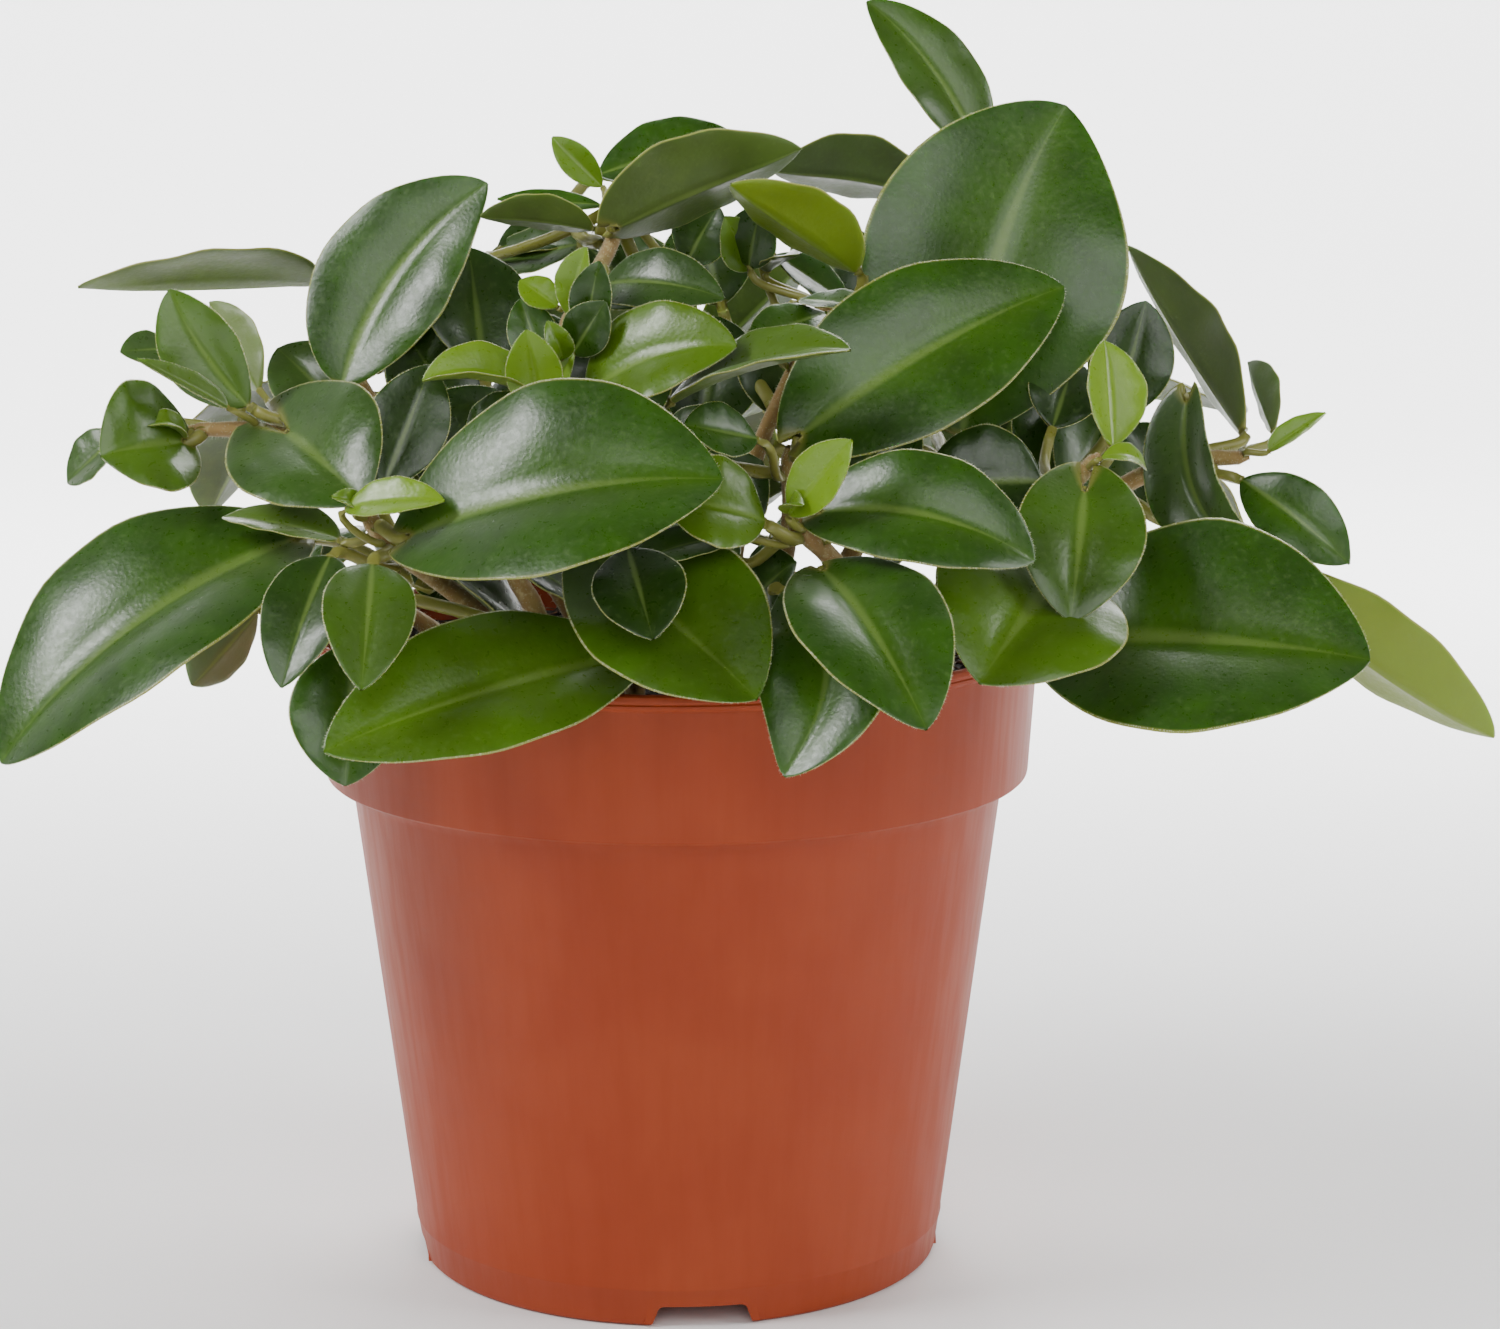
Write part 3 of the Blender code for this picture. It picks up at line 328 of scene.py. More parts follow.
leafLook = {
    "upper": ("#264705", "#315806"),  # two greens that drift across the upper face
    "middle": "#4A6E12",  # the upper face towards its midrib
    "streak": "#8BA552",  # the pale band along the midrib
    "lower": ("#34480A", "#46600F"),
    "rib": "#86A04C",  # the midrib underneath
    "young": ("#759810", "#86A010"),  # above, underneath
    # painted shade: the upper and under colours that a leaf lying in shade is darkened towards
    "dark": ("#122403", "#1A2A06"),
    "grey": ("#4C6038", "#6A7A58"),
    "fleck": "#7D9950",
    "margin": "#9C9C4A",
    "stalk": "#7C7C34",
    "roughness": (0.27, 0.37),
    "underRoughness": 0.14,  # how much rougher the underside is
    "cloud": 9.0,  # sizes of the patterns, mm
    "speckle": 1.1,
    "pore": 0.8,
    "grain": 0.45,
    "bumpHeight": 0.14,  # mm
}


# A fleshy leaf's waxed skin: dark upper face, pale midrib, thin yellow edge, olive underside. The UV map runs
# along the leaf from 0 at its stalk and across it with 0.5 at the midrib; tone is (young, dark, grey, underside),
# its dark share being painted shade
def leafSkin():
    material, shader = newMaterial("leafSkin", {
        "Coat Weight": 0.15, "Coat Roughness": 0.2, "Specular IOR Level": 0.5, "Sheen Weight": 0.04,
        "Subsurface Weight": 0.12, "Subsurface Radius": (0.6, 1.0, 0.2), "Subsurface Scale": 0.0015,
    })
    look = {key: linear(value) for key, value in leafLook.items() if isinstance(value, str)}
    pairOf = {key: [linear(code) for code in leafLook[key]] for key in ("upper", "lower", "young", "dark", "grey")}
    place = addNode(material, "ShaderNodeTexCoord").outputs["Object"]
    flat = addNode(material, "ShaderNodeUVMap", uv_map="UVMap").outputs["UV"]
    where = addNode(material, "ShaderNodeSeparateXYZ", {"Vector": flat})
    along, across = where.outputs[0], where.outputs[1]
    tone = addNode(material, "ShaderNodeAttribute", attribute_name="tone")
    kinds = addNode(material, "ShaderNodeSeparateColor", {"Color": tone.outputs["Color"]})
    young, dark, grey = kinds.outputs[0], kinds.outputs[1], kinds.outputs[2]
    under = tone.outputs["Alpha"]
    off = sums(material, "ABSOLUTE", sums(material, "SUBTRACT", across, 0.5))  # 0 at the midrib, 0.5 at the edge
    cloud = noise(material, place, leafLook["cloud"])
    speckle = noise(material, place, leafLook["speckle"], 2.0)
    drift = ramp(material, cloud, 0.3, 0.7)
    upper = mixColour(material, drift, *pairOf["upper"])
    upper = mixColour(material, ramp(material, off, 0.3, 0.0, 0.0, 0.35), upper, look["middle"])
    upper = mixColour(material, young, upper, pairOf["young"][0])
    # painted shade: the upper face darkened by the tone's dark share
    upper = mixColour(material, sums(material, "MULTIPLY", dark, 0.8), upper, pairOf["dark"][0])
    upper = mixColour(material, sums(material, "MULTIPLY", grey, 0.6), upper, pairOf["grey"][0])
    # the streak's half width is 0.016 + 0.075 (1 - along)^1.6
    narrowing = sums(material, "POWER", sums(material, "SUBTRACT", 1.0, along), 1.6)
    width = sums(material, "MULTIPLY_ADD", narrowing, 0.075, 0.016)
    streak = ramp(material, sums(material, "DIVIDE", off, width), 1.0, 0.1)
    streak = sums(material, "MULTIPLY", streak, ramp(material, along, 1.0, 0.45, 0.1, 0.34))
    upper = mixColour(material, streak, upper, look["streak"])
    lower = mixColour(material, drift, *pairOf["lower"])
    lower = mixColour(material, young, lower, pairOf["young"][1])
    # painted shade: the underside darkened by the tone's dark share
    lower = mixColour(material, sums(material, "MULTIPLY", dark, 0.7), lower, pairOf["dark"][1])
    lower = mixColour(material, sums(material, "MULTIPLY", grey, 0.7), lower, pairOf["grey"][1])
    lower = mixColour(material, ramp(material, off, 0.04, 0.01, 0.0, 0.4), lower, look["rib"])
    colour = mixColour(material, under, upper, lower)
    colour = mixColour(material, ramp(material, speckle, 0.55, 0.75, 0.0, 0.08), colour, look["fleck"])
    colour = mixColour(material, ramp(material, off, 0.482, 0.498, 0.0, 0.8), colour, look["margin"])
    colour = mixColour(material, ramp(material, along, 0.03, 0.0), colour, look["stalk"])
    link(material, colour, shader.inputs["Base Color"])
    rough = ramp(material, speckle, 0.3, 0.7, *leafLook["roughness"])
    rough = sums(material, "ADD", rough, sums(material, "MULTIPLY", under, leafLook["underRoughness"]))
    link(material, rough, shader.inputs["Roughness"])
    cells = addNode(material, "ShaderNodeTexVoronoi", {"Vector": place, "Scale": 1000 / leafLook["pore"]})
    pores = ramp(material, cells.outputs["Distance"], 0.0, 0.8)
    fine = noise(material, place, leafLook["grain"], 2.0)
    height = sums(material, "MULTIPLY_ADD", pores, 0.35, sums(material, "MULTIPLY", fine, 0.4))
    height = sums(material, "ADD", height, sums(material, "MULTIPLY", cloud, 0.6))
    link(material, bump(material, height, 0.28, leafLook["bumpHeight"]), shader.inputs["Normal"])
    return material


# fine white plant hairs
def hairSkin():
    return newMaterial("leafHair", {"Base Color": linear("#D9DEC0"), "Roughness": 0.5})[0]


stemLook = {"green": "#7A7230", "pink": "#9E7448", "pale": "#B3A470", "patch": 6.0, "mottle": 1.2, "grain": 0.6}


# a velvety beige-green stem with a pink flush
def stemSkin():
    material, shader = newMaterial("stemSkin", {"Roughness": 0.7, "Sheen Weight": 0.3})
    place = addNode(material, "ShaderNodeTexCoord").outputs["Object"]
    patch = noise(material, place, stemLook["patch"])
    mottle = ramp(material, noise(material, place, stemLook["mottle"]), 0.5, 0.8)
    colour = mixColour(material, patch, linear(stemLook["green"]), linear(stemLook["pink"]))
    colour = mixColour(material, mottle, colour, linear(stemLook["pale"]))
    link(material, colour, shader.inputs["Base Color"])
    link(material, bump(material, noise(material, place, stemLook["grain"]), 0.4, 0.2), shader.inputs["Normal"])
    return material


potLook = {
    "plastic": ("#93391A", "#993F1E"),
    "streak": "#82300F",
    "cloud": 26.0,  # sizes of the patterns, mm
    "streakWidth": 2.2,
    "grain": 0.5,
    "roughness": (0.44, 0.54),
}


# injection-moulded polypropylene, terracotta coloured, with faint drawn streaks and scuffs
def potPlastic():
    material, shader = newMaterial("potPlastic", {
        "Specular IOR Level": 0.25, "Subsurface Weight": 0.06, "Subsurface Radius": (1.0, 0.35, 0.2),
        "Subsurface Scale": 0.002,
    })
    place = addNode(material, "ShaderNodeTexCoord").outputs["Object"]
    drawn = addNode(material, "ShaderNodeMapping", {"Vector": place, "Scale": (1.0, 1.0, 0.05)})
    streaks = noise(material, drawn.outputs["Vector"], potLook["streakWidth"], 4.0)
    cloud = noise(material, place, potLook["cloud"])
    grain = noise(material, place, potLook["grain"], 2.0)
    colour = mixColour(material, ramp(material, cloud, 0.3, 0.7), *map(linear, potLook["plastic"]))
    colour = mixColour(material, ramp(material, streaks, 0.35, 0.75, 0.0, 0.2), colour, linear(potLook["streak"]))
    link(material, colour, shader.inputs["Base Color"])
    link(material, ramp(material, streaks, 0.3, 0.7, *potLook["roughness"]), shader.inputs["Roughness"])
    height = sums(material, "MULTIPLY_ADD", streaks, 0.8, sums(material, "MULTIPLY", grain, 0.25))
    link(material, bump(material, height, 0.25, 0.1), shader.inputs["Normal"])
    return material


# damp peat compost
def peat(name, dark, pale):
    material, shader = newMaterial(name, {"Roughness": 0.9})
    place = addNode(material, "ShaderNodeTexCoord").outputs["Object"]
    mottle = ramp(material, noise(material, place, 1.6, 5.0), 0.4, 0.8)
    link(material, mixColour(material, mottle, linear(dark), linear(pale)), shader.inputs["Base Color"])
    link(material, bump(material, noise(material, place, 0.7, 4.0), 0.8, 0.5), shader.inputs["Normal"])
    return material


# meshes

# A piece from points in millimetres. uv and tone are one row to a point
def makeMesh(name, points, faces, materials, slots=None, uv=None, tone=None, smooth=True):
    mesh = bpy.data.meshes.new(name)
    mesh.from_pydata((points / 1000).tolist(), [], [tuple(face) for face in faces])
    for material in materials:
        mesh.materials.append(material)
    if slots is not None:
        mesh.polygons.foreach_set("material_index", np.asarray(slots, np.int32))
    corners = np.empty(len(mesh.loops), np.int32)
    mesh.loops.foreach_get("vertex_index", corners)
    if uv is not None:
        layer = mesh.uv_layers.new(name="UVMap")
        layer.uv.foreach_set("vector", np.asarray(uv, np.float32)[corners].ravel())
    if tone is not None:
        layer = mesh.attributes.new("tone", "FLOAT_COLOR", "POINT")
        layer.data.foreach_set("color", np.asarray(tone, np.float32).ravel())
    mesh.polygons.foreach_set("use_smooth", np.full(len(mesh.polygons), smooth))
    mesh.update()
    item = bpy.data.objects.new(name, mesh)
    bpy.context.scene.collection.objects.link(item)
    return item


# Quads of a tube of rings of equal size, as an array of corner numbers
def ringFaces(rings, size, first=0):
    low = first + np.arange(rings - 1)[:, None] * size
    spot = np.arange(size)[None, :]
    after = (spot + 1) % size
    return np.stack([low + spot, low + after, low + size + after, low + size + spot], -1).reshape(-1, 4)


# Thin three-sided spikes; a root, a direction and a length to each
def hairs(roots, heads, lengths, thick):
    side = unit(np.cross(heads, [0.3, 0.5, 0.81]))
    other = np.cross(heads, side)
    turn = np.arange(3) * 2 * pi / 3
    spokes = np.cos(turn)[:, None] * side[:, None] + np.sin(turn)[:, None] * other[:, None]
    foot = roots[:, None] + thick * spokes
    points = np.concatenate([foot, (roots + heads * lengths[:, None])[:, None]], axis=1)
    low = np.arange(len(roots))[:, None] * 4
    faces = np.concatenate([low + [0, 1, 3], low + [1, 2, 3], low + [2, 0, 3]])
    return points.reshape(-1, 3), faces


# Points down the middle of a stem: straight up out of the soil, then a smooth run through its points
def stemPath(name):
    foot, through, _, _ = stems[name]
    foot = np.array([foot[0], foot[1], stemShape["foot"]])
    collar = foot + [0, 0, stemShape["upright"]]
    knots = np.array([collar, *through], float)
    before = collar - [0, 0, np.linalg.norm(knots[1] - collar)]
    knots = np.vstack([before, knots, 2 * knots[-1] - knots[-2]])
    rows = [foot[None]]
    t = np.linspace(0, 1, 9)[:-1, None]
    for first in range(len(knots) - 3):
        a, b, c, d = knots[first : first + 4]  # a Catmull-Rom run from b to c
        square, cube = 2 * a - 5 * b + 4 * c - d, 3 * b - a - 3 * c + d
        rows.append(0.5 * (2 * b + (c - a) * t + square * t**2 + cube * t**3))
    return np.vstack([*rows, knots[-2:-1]])


def stemPoint(name, place):
    path = stemPath(name)
    runs = np.linalg.norm(np.diff(path, axis=0), axis=1)
    along = np.concatenate([[0], np.cumsum(runs)]) / runs.sum()
    index = min(int(np.searchsorted(along, place, side="right")) - 1, len(runs) - 1)
    share = (place - along[index]) / (along[index + 1] - along[index])
    point = path[index] + (path[index + 1] - path[index]) * share
    return point, unit(path[index + 1] - path[index]), np.interp(place, [0, 1], stems[name][2:]) / 2


# Rings round a path, each ring's side carried on from the one before
def tubeRings(path, radii, size, across=(1.0, 0.0, 0.0), firstHead=None, lastHead=None):
    heads = np.gradient(path, axis=0)
    if firstHead is not None:
        heads[0] = firstHead
    if lastHead is not None:
        heads[-1] = lastHead
    heads = unit(heads)
    across = np.array(across, float)
    turn = (pi - pi / size - np.arange(size) * 2 * pi / size)[:, None]
    rings = []
    for point, head, radius in zip(path, heads, radii):
        across = unit(across - head * (across @ head))
        rings.append(point + radius * (np.cos(turn) * across + np.sin(turn) * np.cross(across, head)))
    return np.array(rings)


# What the blade's formula needs, worked out once from a row of the table
def leafFrame(row):
    _, _, base, tip, width, look, arch, sweep, fold, widest, lobes = row
    base, tip = np.array(base, float), np.array(tip, float)
    chord = tip - base
    length = np.linalg.norm(chord)
    ahead = chord / length
    up = looking(*look)
    up = unit(up - ahead * (up @ ahead))
    bow = (up * arch + np.cross(ahead, up) * sweep) * length
    phase = abs(base[0] * 1.7 + tip[2]) % 6.28  # starts each leaf's ripple at another place
    return {
        "base": base, "chord": chord, "length": length, "up": up, "bow": bow, "half": width / 2,
        "fold": radians(fold), "widest": widest, "lobes": lobes, "phase": phase,
    }


# Midrib point, forward and upward directions at t; the midrib is base + chord t + bow 4 t (1 - t)
def bladeSpine(leaf, t):
    t = np.asarray(t, float)[..., None]
    rib = leaf["base"] + leaf["chord"] * t + leaf["bow"] * 4 * t * (1 - t)
    head = unit(leaf["chord"] + leaf["bow"] * 4 * (1 - 2 * t))
    normal = unit(leaf["up"] - head * (head @ leaf["up"])[..., None])
    return rib, head, normal


# A point of the blade at t from base to tip and s from edge to edge; face is 1 above and -1 below.
# half width = W sin(pi t^k)^0.68; height = half (|s| sin fold + cup s^2 + pillow sin(pi |s|)) + ripple
# s^2 sin(7 pi t)
def bladePoints(leaf, t, s, face):
    rib, head, normal = bladeSpine(leaf, t)
    side = np.cross(head, normal)
    bend = np.log(0.5) / np.log(leaf["widest"])
    half = np.maximum(leaf["half"] * np.sin(pi * np.clip(t, 0, 1) ** bend) ** 0.68, 0.3)
    wide = half * s * cos(leaf["fold"])
    rise = half * (np.sqrt(s**2 + 0.01) * sin(leaf["fold"]) + leafShape["cup"] * s**2)
    calm = np.sin(pi * np.clip(t, 0, 1)) * np.clip(leaf["half"] / 10, 0.2, 1)
    rise = rise + leafShape["ripple"] * calm * s**2 * np.sin(7 * pi * t + leaf["phase"] + np.sign(s))
    back = leaf["lobes"] * leaf["length"] * np.abs(s) ** 1.5 * (1 - t) ** 4
    small = np.clip(leaf["half"] / 8, 0.5, 1)
    thick = leafShape["edgeThick"] + (leafShape["middleThick"] - leafShape["edgeThick"]) * (1 - s**2)
    thick = thick * small * np.clip(1.25 - t**6, 0.4, 1) * np.sqrt(np.clip(1 - s**10, 0.06, 1)) / 2
    rise = rise + half * leafShape["pillow"] * np.sin(pi * np.abs(s)) * calm
    vein = np.exp(-((s / 0.06) ** 2)) * calm
    thick = thick + np.where(face > 0, -leafShape["groove"], leafShape["keel"]) * vein
    spot = rib + side * wide[..., None] - head * back[..., None]
    return spot + normal * (rise + face * thick)[..., None]


# The stalk's curve from the middle of its stem to the blade's base
def stalkPath(row, leaf):
    centre, along, radius = stemPoint(row[0], row[1])
    toward = unit(leaf["base"] - centre)
    out = unit(toward - along * (toward @ along))
    start = centre + out * radius * 0.6
    head = bladeSpine(leaf, np.array(0.0))[1]
    reach = np.linalg.norm(leaf["base"] - start)
    u = np.linspace(0, 1, 9)[:, None]
    a, b, c, d = start, start + out * reach * 0.4, leaf["base"] - head * reach * 0.4, leaf["base"]
    return a * (1 - u) ** 3 + 3 * b * u * (1 - u) ** 2 + 3 * c * u**2 * (1 - u) + d * u**3, out, head


# A whole leaf: stalk, blade and the fringe of hairs along its edge, as arrays for makeMesh
def leafParts(row, tone, seed):
    leaf = leafFrame(row)
    many = leafShape["across"]
    rings, size = leafShape["along"], 2 * many
    t = 0.5 - 0.5 * np.cos(pi * np.linspace(0, 1, rings) ** 0.92)
    t = t[1:]
    s = np.sin(np.linspace(-pi / 2, pi / 2, many))
    face = np.concatenate([np.ones(many), -np.ones(many)])
    s = np.concatenate([s, s[::-1]])
    blade = bladePoints(leaf, t[:, None], s[None, :], face[None, :])
    path, out, head = stalkPath(row, leaf)
    _, first, normal = bladeSpine(leaf, np.array(0.0))
    radii = np.linspace(1.15, 0.95, len(path)) * leafShape["stalkRadius"] * np.clip(leaf["half"] / 7, 0.55, 1)
    stalk = tubeRings(path[::-1], radii[::-1], size, np.cross(first, normal), head, out)[::-1]
    points = np.concatenate([stalk, blade]).reshape(-1, 3)
    count = len(stalk) + len(t)
    faces = ringFaces(count, size)
    tAll = np.concatenate([np.zeros(len(stalk)), t])
    uv = np.stack(np.broadcast_arrays(tAll[:, None], 0.5 + s[None, :] / 2), -1).reshape(-1, 2)
    under = np.broadcast_to(np.where(face < 0, 1.0, 0.0), (count, size)).reshape(-1)
    tones = np.column_stack([np.broadcast_to(tone, (len(points), 3)), under])
    # hairs along both edges, none near the stalk
    chance = np.random.default_rng(seed)
    number = int(2 * leaf["length"] * 1.15 * hairLook["perMm"])
    where = chance.uniform(0.05, 1.0, number)
    edge = np.where(chance.random(number) < 0.5, -1.0, 1.0)
    roots = bladePoints(leaf, where, edge * 0.985, np.ones(number))
    _, ahead, normal = bladeSpine(leaf, where)
    outward = np.cross(ahead, normal) * edge[:, None] + ahead * (0.2 + where[:, None] ** 4)
    outward = unit(outward + chance.normal(0, 0.22, (number, 3)))
    lengths = hairLook["length"] * chance.uniform(0.5, 1.25, number) * np.clip(leaf["half"] / 8, 0.6, 1)
    hairPoints, hairFaces = hairs(roots - outward * 0.1, outward, lengths, hairLook["thick"])
    points = np.vstack([points, hairPoints])
    slots = np.concatenate([np.zeros(len(faces)), np.ones(len(hairFaces))])
    uv = np.vstack([uv, np.zeros((len(hairPoints), 2))])
    tones = np.vstack([tones, np.zeros((len(hairPoints), 4))])
    return points, [*faces.tolist(), *(hairFaces + len(points) - len(hairPoints)).tolist()], slots, uv, tones


# One piece from any number of leaves, given as a name and a row each
def leafPiece(name, rows, materials):
    points, faces, slots, uv, tones, count = [], [], [], [], [], 0
    for leafName, row in rows:
        tone = leafTones.get(leafName, innerShadeTone if leafName.startswith("inner") else plainTone)
        seed = sum(map(ord, leafName)) * 31 + len(row[0])
        parts = leafParts(row, tone, seed)
        points.append(parts[0])
        faces += [tuple(corner + count for corner in face) for face in parts[1]]
        slots.append(parts[2])
        uv.append(parts[3])
        tones.append(parts[4])
        count += len(parts[0])
    uv, tones = np.vstack(uv), np.vstack(tones)
    piece = makeMesh(name, np.vstack(points), faces, materials, np.concatenate(slots), uv, tones)
    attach(piece, "root")
    return piece


# opposite pairs of leaves that fill in the back and the sides: (stem, places along it, first pair's turn)
pairs = [
    ("stem_back", (0.35, 0.55, 0.8), 20), ("stem_back_left", (0.4, 0.58, 0.82), 60),
    ("stem_back_right", (0.4, 0.55, 0.8), 10), ("stem_low_left", (0.45, 0.8), 70),
    ("stem_tall", (0.3, 0.62, 0.8), 40), ("stem_left_back", (0.4, 0.8), 80),
    ("stem_far_right", (0.35, 0.6), 60), ("stem_inner", (0.35,), 50),
]
pairShape = {
    "length": 19,
    "vary": 5,  # how much the lengths vary, mm
    "width": 0.66,  # a share of the length
    "stalk": 6,
    "behind": 4,  # no leaf is set nearer to the front than this y
    "lowest": 108.0,  # a tip hangs no lower than this
    "bend": (0.08, 0.0, 7, 0.46, 0.05),
}


# Rows for the pairs: each pair stands across its stem, a quarter turn on from the pair before
def pairRows():
    rows = []
    for name, places, turn in pairs:
        for number, place in enumerate(places):
            centre, along, _ = stemPoint(name, place)
            side = unit(np.cross(along, [0.0, 0.0, 1.0]))
            other = np.cross(side, along)
            angle = radians(turn + 90 * number)
            for sign in (-1, 1):
                out = sign * (cos(angle) * side + sin(angle) * other)
                if centre[1] + out[1] * 20 < pairShape["behind"] or out[2] < -0.75:
                    continue
                length = pairShape["length"] + pairShape["vary"] * cos(number * 2.3 + turn + sign)
                base = centre + out * pairShape["stalk"]
                tip = base + unit(out + along * 0.45 + np.array([0, 0, 0.12])) * length
                tip[2] = max(tip[2], pairShape["lowest"])
                face = unit(along + np.array([0.0, 0.25, 1.0]))
                look = (np.degrees(np.arctan2(face[1], face[0])), np.degrees(np.arcsin(face[2])))
                width = length * pairShape["width"]
                rows.append((name, place, tuple(base), tuple(tip), width, look, *pairShape["bend"]))
    return rows


# A stem, swollen a little at its joints, under a coat of short hairs
def stemPiece(name, materials, seed):
    path = stemPath(name)
    _, _, low, high = stems[name]
    along = np.linspace(0, 1, len(path))
    joints = stemShape["swell"] * np.exp(-(((along * stemShape["joints"]) % 1 - 0.5) / 0.18) ** 2)
    radii = np.linspace(low, high, len(path)) / 2 * (1 + joints)
    radii[-1] *= 0.4
    sides = stemShape["sides"]
    rings = tubeRings(path, radii, sides)
    faces = ringFaces(len(path), sides)
    points = rings.reshape(-1, 3)
    chance = np.random.default_rng(seed)
    runs = np.linalg.norm(np.diff(path, axis=0), axis=1).sum()
    number = int(runs * hairLook["stemPerMm"])
    pick = chance.integers(1, len(path) - 1, number)
    spot = chance.integers(0, sides, number)
    share = chance.random(number)[:, None]
    roots = rings[pick, spot] * (1 - share) + rings[pick + 1, spot] * share
    middle = path[pick] * (1 - share) + path[pick + 1] * share
    heads = unit(unit(roots - middle) + chance.normal(0, 0.3, (number, 3)))
    lengths = hairLook["stemLength"] * chance.uniform(0.4, 1.2, number)
    hairPoints, hairFaces = hairs(roots, heads, lengths, hairLook["thick"])
    allFaces = [*faces.tolist(), *(hairFaces + len(points)).tolist()]
    slots = np.concatenate([np.zeros(len(faces)), np.ones(len(hairFaces))])
    piece = makeMesh(name + "_fine", np.vstack([points, hairPoints]), allFaces, materials, slots)
    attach(piece, "root")
    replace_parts(piece, name)
    return piece


# the pot

potShape = {
    "topWidth": 120.0, "height": 105.4, "footWidth": 86.4, "bandHeight": 23.6, "bandWidth": 115.8,
    "bodyTopWidth": 109.0, "wall": 1.2, "floor": 1.2, "sides": 256,
}
drain = {"count": 4, "bearing": -84.0, "width": 14.5, "spread": 1.7, "height": 3.6, "inner": 17.0}


def bodyRadius(z):
    share = z / (potShape["height"] - potShape["bandHeight"])
    return (potShape["footWidth"] + (potShape["bodyTopWidth"] - potShape["footWidth"]) * share) / 2


# A closed shape turned about Z from (radius, height) points, first and last on the axis
def lathePiece(name, profile, sides, materials):
    angle = np.linspace(0, 2 * pi, sides, endpoint=False)
    inner = np.array(profile[1:-1], float)
    radius, z = inner[:, :1], inner[:, 1:]
    rings = np.stack(np.broadcast_arrays(radius * np.cos(angle), radius * np.sin(angle), z), -1)
    points = np.vstack([rings.reshape(-1, 3), [[0, 0, profile[0][1]]], [[0, 0, profile[-1][1]]]])
    faces = ringFaces(len(inner), sides).tolist()
    last = (len(inner) - 1) * sides
    for spot in range(sides):
        after = (spot + 1) % sides
        faces.append((len(points) - 2, after, spot))
        faces.append((len(points) - 1, last + spot, last + after))
    return makeMesh(name, points, faces, materials)


# A bar along a bearing with a section of (across, height) points: a tool that cuts or adds
def barPiece(name, bearing, near, far, section):
    a = radians(bearing)
    out, across = np.array([cos(a), sin(a), 0]), np.array([-sin(a), cos(a), 0])
    rings = np.array([[out * r + across * w + [0, 0, z] for w, z in section] for r in (near, far)])
    count = len(section)
    faces = ringFaces(2, count).tolist() + [list(range(count))[::-1], list(range(count, 2 * count))]
    return makeMesh(name, rings.reshape(-1, 3), faces, [], smooth=False)


# A trapezium section with its two upper corners rounded by four-point arcs
def trapezium(low, high, wideLow, wideHigh, corner):
    x, z = wideHigh / 2 - corner, high - corner
    right = [(x + corner * sin(a), z + corner * cos(a)) for a in np.linspace(pi / 2, 0, 5)]
    left = [(-w, z) for w, z in right[::-1]]
    return [(-wideLow / 2, low), (wideLow / 2, low), *right, *left]


# A boolean worked into the mesh; the tool is removed
def work(piece, tool, operation):
    change = piece.modifiers.new("work", "BOOLEAN")
    change.operation, change.solver, change.object = operation, "EXACT", tool
    bpy.context.view_layer.update()
    graph = bpy.context.evaluated_depsgraph_get()
    mesh = bpy.data.meshes.new_from_object(piece.evaluated_get(graph))
    piece.modifiers.remove(change)
    piece.data = mesh
    bpy.data.objects.remove(tool)


def makePot(material):
    wall, floor, top, foot = potShape["wall"], potShape["floor"], potShape["height"], potShape["footWidth"] / 2
    step = top - potShape["bandHeight"]
    band, rim, body = potShape["bandWidth"] / 2, potShape["topWidth"] / 2, potShape["bodyTopWidth"] / 2
    profile = [
        (0, 0), (foot - 1.4, 0), (foot - 0.7, 0.1), (foot - 0.15, 0.5), (foot + 0.1, 1.2),
        (bodyRadius(6.0), 6.0), (bodyRadius(6.3) + 0.1, 6.25),  # the ring near the foot
        (bodyRadius(6.6) + 0.14, 6.6), (bodyRadius(7.0), 6.9),
        (bodyRadius(step) - 1.0, step - 2.4), (bodyRadius(step) - 0.35, step - 0.9),  # under the band
        (body + 0.3, step - 0.25),
        (band - 1.4, step - 0.1), (band - 0.5, step), (band - 0.12, step + 0.35), (band, step + 0.9),
        # the double lip, over the top and down inside
        (rim - 0.75, top - 3.2), (rim - 0.7, top - 2.7), (rim - 0.35, top - 2.45), (rim - 0.08, top - 2.1),
        (rim - 0.05, top - 1.75), (rim - 0.22, top - 1.55), (rim - 0.05, top - 1.3), (rim, top - 0.9),
        (rim - 0.15, top - 0.35), (rim - 0.5, top - 0.06), (rim - 0.9, top), (rim - 1.35, top - 0.12),
        (rim - 1.7, top - 0.5), (rim - 0.7 - wall, top - 2.8), (band - wall, step + wall + 0.4),
        (band - wall - 0.6, step + wall - 0.2), (body - wall, step - 0.6), (bodyRadius(8) - wall, 8),
        (bodyRadius(0) - wall - 0.2, floor + 0.8), (bodyRadius(0) - wall - 1.0, floor), (0, floor),
    ]
    piece = lathePiece("potFine", profile, potShape["sides"], [material])
    roof = drain["height"] + floor
    wide, spread = drain["width"], drain["spread"]
    bearings = [drain["bearing"] + number * 360 / drain["count"] for number in range(drain["count"])]
    for bearing in bearings:
        section = trapezium(wall / 2, roof, wide + 2 * wall + spread, wide + 2 * wall, 1.6)
        trough = barPiece("trough", bearing, drain["inner"] - wall, bodyRadius(0) - wall / 2, section)
        work(piece, trough, "UNION")
    for bearing in bearings:
        section = trapezium(-2, drain["height"], wide + 2 * spread, wide, 1.2)
        work(piece, barPiece("channel", bearing, drain["inner"], rim, section), "DIFFERENCE")
    piece.data.materials.clear()
    piece.data.materials.append(material)
    piece.data.polygons.foreach_set("material_index", np.zeros(len(piece.data.polygons), np.int32))
    piece.data.shade_smooth()
    piece.data.set_sharp_from_angle(angle=radians(32))
    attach(piece, "root")
    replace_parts(piece, "pot")
    return piece


